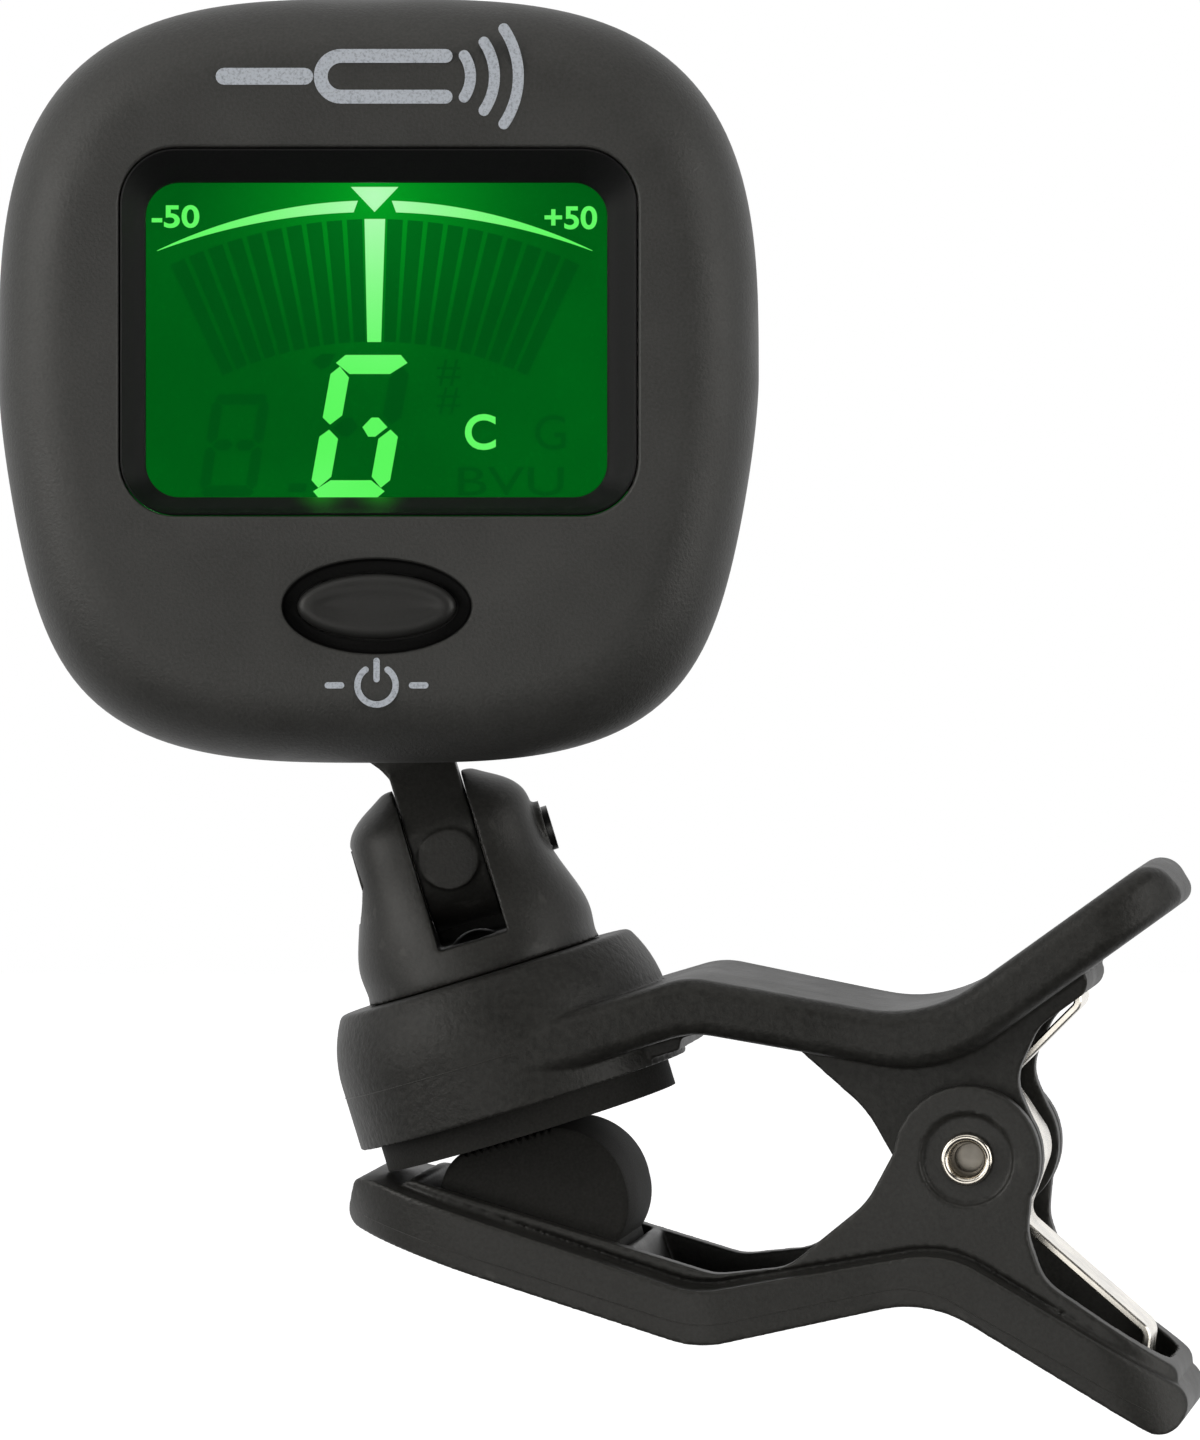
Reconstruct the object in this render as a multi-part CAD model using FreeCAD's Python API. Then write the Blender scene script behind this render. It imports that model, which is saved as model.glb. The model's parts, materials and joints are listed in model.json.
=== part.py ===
"""Clip-on tuner for a stringed instrument's headstock.

A pillow-shaped display head turns on a rear pivot, the pivot's stem tilts in a
forked yoke, the yoke swivels on the upper jaw of a sprung clip, and the lower
jaw opens about a hollow rivet.  All lengths are in millimetres.

Row frame: origin at the middle of the upper pad's grip face, +Z up, +X to the
side where the clip's handles are, +Y away from the display's reader.
"""
import FreeCAD, Part
import math
import os

from FreeCAD import Placement, Rotation, Vector

# ---------------------------------------------------------------- pose at rest
TILT = 17.0            # lean of the swivel axis to the left, degrees
TURN = 9.5             # turn of the clip about the swivel axis, degrees

# ---------------------------------------------------------------- display head
HEAD_WIDTH = 43.3
HEAD_HEIGHT = 43.5
HEAD_DEPTH = 12.2
HEAD_TAPER = 0.042     # how much the lower half is pinched in
HEAD_SQUARENESS = 3.2  # exponent of the outline's superellipse
SPLIT_DEPTH = 6.9      # where the front shell ends and the rear shell begins
SHOULDER_INSET = 4.5   # how far the rounded shoulder pulls the face in
SHOULDER_DEPTH = 5.0
BACK_INSET = 4.8
BACK_ROUND_DEPTH = 4.6
WALL = 1.5
SEAM = 0.05            # gap between two shells or fitted covers

RECESS_SIZE = (29.3, 20.8, 3.2)     # width, height, corner radius
RECESS_CENTRE = (0.1, 2.6)
WINDOW_SIZE = (26.1, 17.8, 1.9)
WINDOW_CENTRE = (-0.05, 2.2)
BEZEL_FLANGE = (30.6, 22.3, 3.4)    # behind the front wall, same three measures
BEZEL_DEPTH = 1.85
LENS_DEPTH = (1.9, 2.4)             # front and back of each layer behind the bezel
LCD_DEPTH = (2.45, 4.0)
BACKLIGHT_DEPTH = (4.05, 5.2)
BOARD_DEPTH = (5.45, 6.25)
LCD_SIZE = (28.4, 20.1)
FRAME_WALL = 1.0

BUTTON_Z = -12.9
MOAT_HALF = (5.33, 2.65)
BUTTON_HALF = (4.475, 1.835)
BUTTON_PROUD = 0.25
BUTTON_TRAVEL = 0.4

CELL_RADIUS = 10.0
CELL_DEPTH = (7.5, 10.7)
CELL_CENTRE_Z = 7.2
DOOR_RADIUS = 11.5
DOOR_DEPTH = 10.9
WELL_RADIUS = 10.4

POST_SPOTS = [(-14.6, 16.2), (14.6, 16.2), (-14.6, -14.8), (14.6, -14.8)]
POST_RADIUS = 1.9
SCREW_RADIUS = 0.75
SCREW_HEAD_RADIUS = 1.5
SCREW_SEAT_DEPTH = 9.0

# ------------------------------------------------- rear pivot, stem and yoke
PIVOT_BELOW_CENTRE = 14.6
PIVOT_BOSS_RADIUS = 7.0
DISC_RADIUS = 7.1
DISC_FRONT = -2.1
DISC_BACK = 1.9
PIVOT_SHOULDER = 1.5
PIVOT_THREAD = 1.1
STEM_REACH = 13.3      # hinge axis to rear pivot axis
STEM_HALF_WIDTH = 1.97
BARREL_RADIUS = 3.9
HINGE_Z = 16.3         # hinge axis above the grip face, along the swivel axis
HINGE_SHANK = 1.0
HINGE_HEAD_RADIUS = 1.3
RUNNING_GAP = 0.05
YOKE_BASE_Z = 9.45
YOKE_TOP_Z = 21.0
YOKE_EAR_HALF = 5.45
SEAT_X = 5.85          # face of the round seat under the hinge screw's head
SLOT_HALF = 2.075
SLOT_FLOOR_Z = 11.4
SLOT_BACK_Y = 4.4      # a low wall closes the slot's foot behind the barrel
SLOT_BACK_TOP_Z = 13.0

# ------------------------------------------------------------------- the clip
BOSS_RADIUS = 9.85
BOSS_Z = (1.6, 9.4)
BOSS_SHOULDER_Z = 5.2  # above this the boss narrows to its top
BOSS_TOP_RADIUS = 8.7
PAD_RADIUS = 8.7
PAD_RIM_RADIUS = 8.1
ARM_HALF_WIDTH = 7.0
ARM_END_X = 40.75
ARM_ROUNDING = 1.0
PIVOT_X = 24.65
PIVOT_Z = -8.6
EAR_ROUND = 4.2
UPPER_EAR = (3.6, 4.8)     # inner and outer face, from the middle plane
LOWER_EAR = (5.0, 6.2)
RIVET_RADIUS = 1.25
RIVET_HEAD_RADIUS = 1.5
RIVET_BORE = 0.8
EAR_RECESS_RADIUS = 2.65
EAR_RECESS_DEPTH = 0.3
SPRING_HALF_WIDTH = 2.1
SPRING_THICKNESS = 0.45
LOWER_PAD_HALF_WIDTH = 4.5

X_AXIS = Vector(1, 0, 0)
Y_AXIS = Vector(0, 1, 0)
Z_AXIS = Vector(0, 0, 1)

# ------------------------------------------------------- where each frame sits
yoke_turn = Rotation(Y_AXIS, -TILT)
JAW_FRAME = Placement(Vector(), yoke_turn * Rotation(Z_AXIS, -TURN))
YOKE_FRAME = Placement(Vector(), yoke_turn)
STEM_FRAME = Placement(yoke_turn.multVec(Vector(0, 0, HINGE_Z)), yoke_turn)
pivot_spot = STEM_FRAME.multVec(Vector(0, 0, STEM_REACH))
HEAD_FRONT_Y = DISC_FRONT - 0.1 - HEAD_DEPTH
HEAD_FRAME = Placement(
    Vector(pivot_spot.x, HEAD_FRONT_Y, pivot_spot.z + PIVOT_BELOW_CENTRE), Rotation())


# --------------------------------------------------------------- small helpers
def save(name, frame, *solids):
    """Write one node: its solids are moved from their own frame to the row frame."""
    placed = []
    for solid in solids:
        copy = solid.copy()
        copy.Placement = frame.multiply(copy.Placement)
        placed.append(copy)
    shape = placed[0] if len(placed) == 1 else Part.makeCompound(placed)
    shape.exportStep("parts/" + name + ".step")
    print(name, len(shape.Solids), round(shape.Volume, 2), shape.isValid())


def box(x0, x1, y0, y1, z0, z1):
    return Part.makeBox(x1 - x0, y1 - y0, z1 - z0, Vector(x0, y0, z0))


def rod_x(radius, x0, x1, y=0.0, z=0.0):
    return Part.makeCylinder(radius, x1 - x0, Vector(x0, y, z), X_AXIS)


def rod_y(radius, y0, y1, x=0.0, z=0.0):
    return Part.makeCylinder(radius, y1 - y0, Vector(x, y0, z), Y_AXIS)


def rod_z(radius, z0, z1, x=0.0, y=0.0):
    return Part.makeCylinder(radius, z1 - z0, Vector(x, y, z0), Z_AXIS)


def rounded_corner(before, here, after, radius):
    """Start, middle and end of the arc that rounds one corner."""
    to_before = (before - here).normalize()
    to_after = (after - here).normalize()
    half = to_before.getAngle(to_after) / 2
    bisector = (to_before + to_after).normalize()
    centre = here + bisector * (radius / math.sin(half))
    cut = radius / math.tan(half)
    return here + to_before * cut, centre - bisector * radius, here + to_after * cut


def rounded_path(points, closed=True):
    """A wire through points given as (position, corner radius)."""
    count = len(points)
    corners = []
    for index, (here, radius) in enumerate(points):
        is_end = not closed and index in (0, count - 1)
        if radius == 0 or is_end:
            corners.append((here, None, here))
        else:
            before = points[index - 1][0]
            after = points[(index + 1) % count][0]
            corners.append(rounded_corner(before, here, after, radius))
    edges = []
    for index, (start, middle, end) in enumerate(corners):
        if middle is not None:
            edges.append(Part.Arc(start, middle, end).toShape())
        if closed or index < count - 1:
            following = corners[(index + 1) % count][0]
            if end.distanceToPoint(following) > 1e-6:
                edges.append(Part.makeLine(end, following))
    return Part.Wire(edges)


def side_plate(points, y0, y1):
    """Extrude a side outline, given as (x, z, corner radius), from y0 to y1."""
    wire = rounded_path([(Vector(x, y0, z), radius) for x, z, radius in points])
    return Part.Face(wire).extrude(Vector(0, y1 - y0, 0))


def cross_plate(points, x0, x1):
    """Extrude an outline given as (y, z, corner radius) from x0 to x1."""
    wire = rounded_path([(Vector(x0, y, z), radius) for y, z, radius in points])
    return Part.Face(wire).extrude(Vector(x1 - x0, 0, 0))


def plan_plate(points, z0, z1):
    """Extrude an outline given as (x, y, corner radius) from z0 to z1."""
    wire = rounded_path([(Vector(x, y, z0), radius) for x, y, radius in points])
    return Part.Face(wire).extrude(Vector(0, 0, z1 - z0))


def panel_wire(size, centre, y):
    """Rounded rectangle facing the reader; size is (width, height, corner radius)."""
    half_x = size[0] / 2
    half_z = size[1] / 2
    signs = [(-1, -1), (1, -1), (1, 1), (-1, 1)]
    return rounded_path(
        [(Vector(centre[0] + sx * half_x, y, centre[1] + sz * half_z), size[2])
         for sx, sz in signs])


def panel(size, centre, y0, y1):
    return Part.Face(panel_wire(size, centre, y0)).extrude(Vector(0, y1 - y0, 0))


def oval(half_size, centre, y0, y1):
    """Elliptical plate facing the reader."""
    ellipse = Part.Ellipse(Vector(centre[0], y0, centre[1]), half_size[0], half_size[1])
    ellipse.Axis = Y_AXIS
    ellipse.XAxis = X_AXIS
    wire = Part.Wire(ellipse.toShape())
    return Part.Face(wire).extrude(Vector(0, y1 - y0, 0))


def fuse_all(first, *others):
    """Union; faces that continue each other are merged where that stays valid."""
    fused = first
    for other in others:
        fused = fused.fuse(other)
    merged = fused.removeSplitter()
    return merged if merged.isValid() and merged.Solids else fused


def cut_all(first, *others):
    remaining = first
    for other in others:
        remaining = remaining.cut(other)
    return remaining


def rim_edges(solid, half_width):
    """Upper outer edges of a plate that is wider than 2 * half_width."""
    chosen = []
    for edge in solid.Edges:
        middle = (edge.FirstParameter + edge.LastParameter) / 2
        spot = edge.valueAt(middle)
        runs_upright = abs(edge.tangentAt(middle).z) > 0.95
        if runs_upright or (abs(spot.y) < half_width and spot.x < ARM_END_X - 8):
            continue
        inward = Vector(-0.3 if spot.x > ARM_END_X - 5 else 0.0,
                        -math.copysign(0.3, spot.y), 0)
        under = solid.isInside(spot + inward - Z_AXIS * 0.5, 1e-4, True)
        over = solid.isInside(spot + inward + Z_AXIS * 0.5, 1e-4, True)
        if under and not over:
            chosen.append(edge)
    return chosen


# ------------------------------------------------------------- the head's form
def pillow_wire(inset, y):
    """Outline of the head, pulled in by inset, at depth y."""
    half_x = HEAD_WIDTH / 2 - inset
    half_z = HEAD_HEIGHT / 2 - inset
    count = 40
    points = []
    for index in range(count):
        angle = 2 * math.pi * index / count
        c = abs(math.cos(angle)) / half_x
        s = abs(math.sin(angle)) / half_z
        radius = (c ** HEAD_SQUARENESS + s ** HEAD_SQUARENESS) ** (-1 / HEAD_SQUARENESS)
        x = radius * math.cos(angle)
        z = radius * math.sin(angle)
        below = max(0.0, -z / half_z)
        pinch = HEAD_TAPER * math.sin(0.9 * math.pi * below) ** 1.5
        points.append(Vector(x * (1 - pinch), y, z))
    spline = Part.BSplineCurve()
    spline.interpolate(points, PeriodicFlag=True)
    return Part.Wire(spline.toShape())


def shoulder(depth, rounding_depth, inset):
    """How far an elliptical shoulder stands in at a depth below its crown."""
    share = max(0.0, (rounding_depth - depth) / rounding_depth)
    return inset * (1 - math.sqrt(1 - share * share))


def half_pillow(offset, crown, direction, round_depth, full_depth, inset):
    """Loft from a crown plane to the split plane, offset inwards by the wall."""
    shares = [0.0, 0.025, 0.09, 0.22, 0.44, 0.72, 1.0]
    depths = [share * (round_depth - offset) for share in shares] + [full_depth - offset]
    wires = []
    for depth in depths:
        stand_in = shoulder(depth, round_depth - offset, inset - offset * 0.4)
        wires.append(pillow_wire(stand_in + offset, crown + direction * (depth + offset)))
    return Part.makeLoft(wires, True, False)


def front_form(offset):
    """Solid of the front half, offset inwards by the wall."""
    return half_pillow(offset, 0.0, 1, SHOULDER_DEPTH, SPLIT_DEPTH, SHOULDER_INSET)


def rear_form(offset):
    """Solid of the rear half, offset inwards by the wall."""
    full_depth = HEAD_DEPTH - SPLIT_DEPTH - SEAM
    return half_pillow(offset, HEAD_DEPTH, -1, BACK_ROUND_DEPTH, full_depth, BACK_INSET)


# ----------------------------------------------------------------- head pieces
def make_front_housing():
    shell = front_form(0.0).cut(front_form(WALL))
    posts = [rod_y(POST_RADIUS, WALL * 0.8, SPLIT_DEPTH, x, z) for x, z in POST_SPOTS]
    inside = front_form(WALL * 0.5)
    shell = fuse_all(shell, *[post.common(inside) for post in posts])
    pilots = [rod_y(SCREW_RADIUS, 3.4, SPLIT_DEPTH + 1, x, z) for x, z in POST_SPOTS]
    opening = panel(RECESS_SIZE, RECESS_CENTRE, -1.0, 2.5)
    moat = oval(MOAT_HALF, (0, BUTTON_Z), -1.0, 1.0)
    hole = oval((BUTTON_HALF[0] + 0.12, BUTTON_HALF[1] + 0.12), (0, BUTTON_Z), 0.5, 2.5)
    return cut_all(shell, opening, moat, hole, *pilots)


def make_display_bezel():
    outer = panel((RECESS_SIZE[0] - 2 * SEAM, RECESS_SIZE[1] - 2 * SEAM, RECESS_SIZE[2] - SEAM),
                  RECESS_CENTRE, 0.05, 1.8)
    flange = panel(BEZEL_FLANGE, WINDOW_CENTRE, WALL + SEAM, BEZEL_DEPTH)
    body = fuse_all(outer, flange)
    lip = 0.35
    mouth = panel_wire((RECESS_SIZE[0] - lip, RECESS_SIZE[1] - lip, RECESS_SIZE[2] - lip / 2),
                       RECESS_CENTRE, 0.0)
    window = panel_wire(WINDOW_SIZE, WINDOW_CENTRE, BEZEL_DEPTH - 0.15)
    slope = Part.makeLoft([mouth, window], True, True)
    through = panel(WINDOW_SIZE, WINDOW_CENTRE, BEZEL_DEPTH - 0.2, BEZEL_DEPTH + 0.5)
    return cut_all(body, slope, through)


def make_lcd_frame():
    size = (LCD_SIZE[0] + 2 * FRAME_WALL + 0.2, LCD_SIZE[1] + 2 * FRAME_WALL + 0.2, 1.4)
    hollow = (LCD_SIZE[0] + 0.2, LCD_SIZE[1] + 0.2, 0.5)
    outer = panel(size, WINDOW_CENTRE, LENS_DEPTH[0], BOARD_DEPTH[0] - SEAM)
    return outer.cut(panel(hollow, WINDOW_CENTRE, 0.0, 7.0))


def make_circuit_board():
    board = panel((35.0, 35.0, 8.0), (0, 0), *BOARD_DEPTH)
    notches = [rod_y(POST_RADIUS + 0.4, 5.0, 7.0, x, z) for x, z in POST_SPOTS]
    return cut_all(board, *notches)


def make_tact_switch():
    body = box(-2.6, 2.6, 3.9, BOARD_DEPTH[0], BUTTON_Z - 2.6, BUTTON_Z + 2.6)
    return fuse_all(body, rod_y(1.1, 3.3, 4.0, 0, BUTTON_Z))


def make_power_button():
    cap = oval(BUTTON_HALF, (0, BUTTON_Z), -BUTTON_PROUD, 1.75)
    crown = [edge for edge in cap.Edges if abs(edge.CenterOfMass.y + BUTTON_PROUD) < 1e-3]
    cap = cap.makeFillet(0.45, crown[:1])
    flange = oval((5.2, 2.55), (0, BUTTON_Z), WALL + 2 * SEAM, 2.3)
    foot = rod_y(1.1, 2.2, 3.3 - BUTTON_TRAVEL - SEAM, 0, BUTTON_Z)
    return fuse_all(cap, flange, foot)


def make_rear_housing():
    """Pillow shell with the battery well, four screw posts and the pivot boss."""
    cavity = rear_form(WALL)
    well = rod_y(DOOR_RADIUS + 1.2, 7.2, HEAD_DEPTH, 0, CELL_CENTRE_Z)
    boss = rod_y(PIVOT_BOSS_RADIUS, 8.2, HEAD_DEPTH, 0, -PIVOT_BELOW_CENTRE)
    posts = [rod_y(POST_RADIUS + 0.4, SPLIT_DEPTH, HEAD_DEPTH, x, z) for x, z in POST_SPOTS]
    cavity = cut_all(cavity, well, boss, *posts)
    shell = fuse_all(rear_form(0.0).cut(cavity), boss)
    cuts = [
        rod_y(WELL_RADIUS, 5.0, HEAD_DEPTH + 1, 0, CELL_CENTRE_Z),
        rod_y(DOOR_RADIUS + 0.1, DOOR_DEPTH - SEAM, HEAD_DEPTH + 1, 0, CELL_CENTRE_Z),
        rod_y(PIVOT_THREAD, 8.0, HEAD_DEPTH + 1, 0, -PIVOT_BELOW_CENTRE)]
    for x, z in POST_SPOTS:
        cuts.append(rod_y(SCREW_RADIUS + 0.1, 6.0, HEAD_DEPTH + 1, x, z))
        cuts.append(rod_y(SCREW_HEAD_RADIUS + 0.15, SCREW_SEAT_DEPTH, HEAD_DEPTH + 1, x, z))
    return cut_all(shell, *cuts)


def make_battery_door():
    door = rod_y(DOOR_RADIUS, DOOR_DEPTH, HEAD_DEPTH, 0, CELL_CENTRE_Z)
    rim = [edge for edge in door.Edges if abs(edge.CenterOfMass.y - HEAD_DEPTH) < 1e-3]
    door = door.makeFillet(0.3, rim[:1])
    slot = panel((13.0, 1.7, 0.8), (0, CELL_CENTRE_Z), HEAD_DEPTH - 0.7, HEAD_DEPTH + 1)
    return door.cut(slot)


def cross_head(radius, y_seat, y_top, x, z):
    """Pan screw head with a cross recess, its top towards +Y."""
    head = rod_y(radius, y_seat, y_top, x, z)
    arm = radius * 0.55
    deep = y_top - (y_top - y_seat) * 0.6
    blade = 0.16 * radius
    return cut_all(head,
                   box(x - arm, x + arm, deep, y_top + 1, z - blade, z + blade),
                   box(x - blade, x + blade, deep, y_top + 1, z - arm, z + arm))


def make_housing_screws():
    screws = []
    for x, z in POST_SPOTS:
        shank = rod_y(SCREW_RADIUS, 3.6, SCREW_SEAT_DEPTH + 0.2, x, z)
        head = cross_head(SCREW_HEAD_RADIUS, SCREW_SEAT_DEPTH, SCREW_SEAT_DEPTH + 1.0, x, z)
        screws.append(fuse_all(head, shank))
    return screws


def make_positive_contact():
    blade_z = CELL_CENTRE_Z + CELL_RADIUS + 0.03
    blade = box(-1.4, 1.4, BOARD_DEPTH[1], 10.2, blade_z, blade_z + 0.2)
    tail = box(-1.4, 1.4, BOARD_DEPTH[1], BOARD_DEPTH[1] + 0.2, blade_z - 2.4, blade_z + 0.1)
    return fuse_all(blade, tail)


def make_negative_contact():
    """Leaf that stands off the board and meets the cell's small face."""
    top = CELL_DEPTH[0]
    foot = BOARD_DEPTH[1]
    leaf = [(foot, 1.0, 0), (foot + 0.2, 1.0, 0), (foot + 0.2, 3.2, 0.3), (top, 6.0, 0.3),
            (top, 8.4, 0), (top - 0.2, 8.4, 0), (top - 0.2, 6.1, 0.3), (foot, 3.3, 0.3)]
    return cross_plate(leaf, -1.5, 1.5)


def make_piezo_sensor():
    plate = rod_y(5.0, 7.9, 8.15, 0, -PIVOT_BELOW_CENTRE)
    element = rod_y(3.6, 7.7, 7.9, 0, -PIVOT_BELOW_CENTRE)
    return fuse_all(plate, element)


# ----------------------------------------------- rear pivot, stem and the yoke
def make_pivot_stem():
    """Disc on the head's back, neck and hinge barrel, in the hinge's own frame."""
    disc = rod_y(DISC_RADIUS, DISC_FRONT, DISC_BACK, 0, STEM_REACH)
    rim = [edge for edge in disc.Edges if abs(edge.CenterOfMass.y - DISC_BACK) < 1e-3]
    disc = disc.makeFillet(0.8, rim[:1])
    web = 1.6
    web_x = STEM_HALF_WIDTH + web
    reach = DISC_RADIUS + web
    web_z = STEM_REACH - math.sqrt(reach ** 2 - web_x ** 2)
    share = DISC_RADIUS / reach
    meet = (web_x * share, STEM_REACH - (STEM_REACH - web_z) * share)
    neck = cross_plate([(-BARREL_RADIUS, 0, 0), (-3.75, 2.0, 2.5), (DISC_FRONT, 6.0, 2.0),
                        (DISC_FRONT, STEM_REACH, 0), (DISC_BACK, STEM_REACH, 0),
                        (DISC_BACK, 6.4, 3.0), (BARREL_RADIUS, 2.4, 3.0), (BARREL_RADIUS, 0, 0)],
                       -STEM_HALF_WIDTH, STEM_HALF_WIDTH)
    root = side_plate([(-meet[0], meet[1], 0), (-STEM_HALF_WIDTH - 0.35, web_z + 0.7, 0.9),
                       (-STEM_HALF_WIDTH, web_z, 0), (STEM_HALF_WIDTH, web_z, 0),
                       (STEM_HALF_WIDTH + 0.35, web_z + 0.7, 0.9), (meet[0], meet[1], 0)],
                      DISC_FRONT, DISC_BACK)
    barrel = rod_x(BARREL_RADIUS, -STEM_HALF_WIDTH, STEM_HALF_WIDTH)
    mark = rod_y(1.75, -BARREL_RADIUS - 0.08, -BARREL_RADIUS + 1.2)
    body = fuse_all(barrel, neck, disc, root, mark)
    return cut_all(body,
                   rod_x(HINGE_SHANK + RUNNING_GAP, -3, 3),
                   rod_y(PIVOT_SHOULDER + RUNNING_GAP, -3, 3, 0, STEM_REACH),
                   rod_y(3.2, DISC_BACK - 1.7, 3, 0, STEM_REACH))


def make_pivot_screw():
    """Shoulder screw, in the head's frame, that holds the disc on the rear boss."""
    seat = HEAD_DEPTH + 0.1 + (DISC_BACK - DISC_FRONT) - 1.7 + 0.45
    z = -PIVOT_BELOW_CENTRE
    shoulder_part = rod_y(PIVOT_SHOULDER, HEAD_DEPTH, seat + 0.1, 0, z)
    thread = rod_y(PIVOT_THREAD, HEAD_DEPTH - 3.4, HEAD_DEPTH + 0.2, 0, z)
    return fuse_all(cross_head(2.7, seat, seat + 1.0, 0, z), shoulder_part, thread)


def make_pivot_washer():
    """Dished friction washer between the screw head and the disc."""
    seat = HEAD_DEPTH + 0.1 + (DISC_BACK - DISC_FRONT) - 1.7
    z = -PIVOT_BELOW_CENTRE
    return cut_all(rod_y(3.0, seat, seat + 0.45, 0, z),
                   rod_y(PIVOT_SHOULDER + RUNNING_GAP, 0, 20, 0, z))


# Cross sections up the fork: height, half width, half depth, squareness.
YOKE_SECTIONS = [
    (YOKE_BASE_Z, 6.98, 6.98, 2.0), (10.8, 6.95, 6.75, 2.05), (12.6, 6.7, 6.15, 2.2),
    (14.6, 6.0, 5.3, 2.5), (16.3, 5.6, 4.8, 2.7), (17.8, 5.45, 4.55, 2.7),
    (18.9, 5.25, 4.2, 2.6), (20.0, 4.25, 3.4, 2.4), (20.7, 3.1, 2.5, 2.2),
    (YOKE_TOP_Z, 2.2, 1.7, 2.0)]


def superellipse(half_x, half_y, exponent, z):
    """Closed curve between an ellipse (exponent 2) and a rectangle (large exponent)."""
    count = 32
    points = []
    for index in range(count):
        angle = 2 * math.pi * index / count
        c = abs(math.cos(angle)) / half_x
        s = abs(math.sin(angle)) / half_y
        radius = (c ** exponent + s ** exponent) ** (-1 / exponent)
        points.append(Vector(radius * math.cos(angle), radius * math.sin(angle), z))
    spline = Part.BSplineCurve()
    spline.interpolate(points, PeriodicFlag=True)
    return Part.Wire(spline.toShape())


def make_swivel_yoke():
    """Fork that flows from a round foot into two ears; a low wall closes its slot behind."""
    wires = [superellipse(half_x, half_y, exponent, z)
             for z, half_x, half_y, exponent in YOKE_SECTIONS]
    body = Part.makeLoft(wires, True, False)
    body = fuse_all(body, rod_x(HINGE_HEAD_RADIUS + 0.4, SLOT_HALF + 1, SEAT_X, 0, HINGE_Z))
    slot_top = YOKE_TOP_Z + 1
    return cut_all(body,
                   box(-SLOT_HALF, SLOT_HALF, -9, SLOT_BACK_Y, SLOT_FLOOR_Z, slot_top),
                   box(-SLOT_HALF, SLOT_HALF, -9, 9, SLOT_BACK_TOP_Z, slot_top),
                   rod_x(HINGE_SHANK + RUNNING_GAP, -8, 8, 0, HINGE_Z),
                   rod_x(HINGE_HEAD_RADIUS + 0.1, SEAT_X, 8, 0, HINGE_Z),
                   hex_rod(2.1, -8, -YOKE_EAR_HALF + 1.3),
                   rod_z(1.05, 0, SLOT_FLOOR_Z + 1),
                   rod_z(5.1, YOKE_BASE_Z - 1, YOKE_BASE_Z + 0.3))


def hex_rod(half_flats, x0, x1):
    """Hexagonal bar along the hinge axis."""
    radius = half_flats / math.cos(math.pi / 6)
    points = []
    for index in range(6):
        angle = math.pi / 3 * index
        points.append((radius * math.cos(angle), HINGE_Z + radius * math.sin(angle), 0))
    return cross_plate(points, x0, x1)


def make_hinge_screw():
    head_x = SEAT_X + 0.02
    shank = rod_x(HINGE_SHANK, -YOKE_EAR_HALF + 0.1, head_x + 0.1, 0, HINGE_Z)
    head = rod_x(HINGE_HEAD_RADIUS, head_x, head_x + 0.35, 0, HINGE_Z)
    groove = box(head_x + 0.2, head_x + 1, -0.2, 0.2, HINGE_Z - 1.0, HINGE_Z + 1.0)
    return fuse_all(head, shank).cut(groove)


def make_hinge_nut():
    nut = hex_rod(2.05, -YOKE_EAR_HALF + 0.1, -YOKE_EAR_HALF + 1.3)
    return nut.cut(rod_x(HINGE_SHANK, -9, 0, 0, HINGE_Z))


def make_hinge_washers():
    washers = []
    gap = SLOT_HALF - STEM_HALF_WIDTH
    for side in (-1, 1):
        middle = side * (STEM_HALF_WIDTH + gap / 2)
        ring = rod_x(3.2, middle - 0.03, middle + 0.03, 0, HINGE_Z)
        washers.append(ring.cut(rod_x(HINGE_SHANK + RUNNING_GAP, -9, 9, 0, HINGE_Z)))
    return washers


# -------------------------------------------------------------------- the clip
def make_swivel_screw():
    """Dome-headed screw that holds the yoke down on the upper jaw."""
    ball_radius = 2.0
    head_radius = 1.7
    ball_z = SLOT_FLOOR_Z + 0.55 - ball_radius
    head = Part.makeSphere(ball_radius, Vector(0, 0, ball_z))
    head = head.common(rod_z(head_radius, SLOT_FLOOR_Z + 0.02, SLOT_FLOOR_Z + 2))
    return fuse_all(head, rod_z(0.95, 4.0, SLOT_FLOOR_Z + 0.1))


def make_swivel_washer():
    ring = rod_z(5.0, YOKE_BASE_Z - 0.03, YOKE_BASE_Z + 0.27)
    return ring.cut(rod_z(1.05, 0, 20))


# Side outlines of the two jaws: x, z and corner radius, the grip face at z = 0.
ARM_PROFILE = [
    (0.0, 6.0, 0), (12.5, 6.0, 4.5), (24.7, -0.31, 8.5), (39.75, 4.82, 1.5),
    (40.75, 1.89, 0.9), (24.5, -3.67, 8.5), (11.8, 2.85, 5.0), (0.0, 2.85, 0)]

UPPER_WALL = [
    (8.0, 4.5, 0), (12.2, 4.5, 0), (24.6, -1.8, 6.0), (33.5, 1.2, 0), (34.35, -1.3, 1.0),
    (30.6, -2.6, 2.5), (28.4, -5.1, 2.5), (PIVOT_X + EAR_ROUND, PIVOT_Z, 0),
    (20.75, PIVOT_Z, 0), (19.75, -4.3, 6.0), (16.9, 0.3, 1.5),
    (12.0, 2.6, 2.0), (10.7, 2.6, 0), (10.4, 2.0, 0), (8.0, 2.0, 0)]

UPPER_HOLLOW = [
    (17.5, -8.0, 0), (20.0, -0.1, 0), (24.6, -2.4, 6.0), (33.3, 0.57, 0.5), (33.6, -3.3, 0),
    (33.4, -14.0, 0), (24.0, -14.0, 0)]

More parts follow.
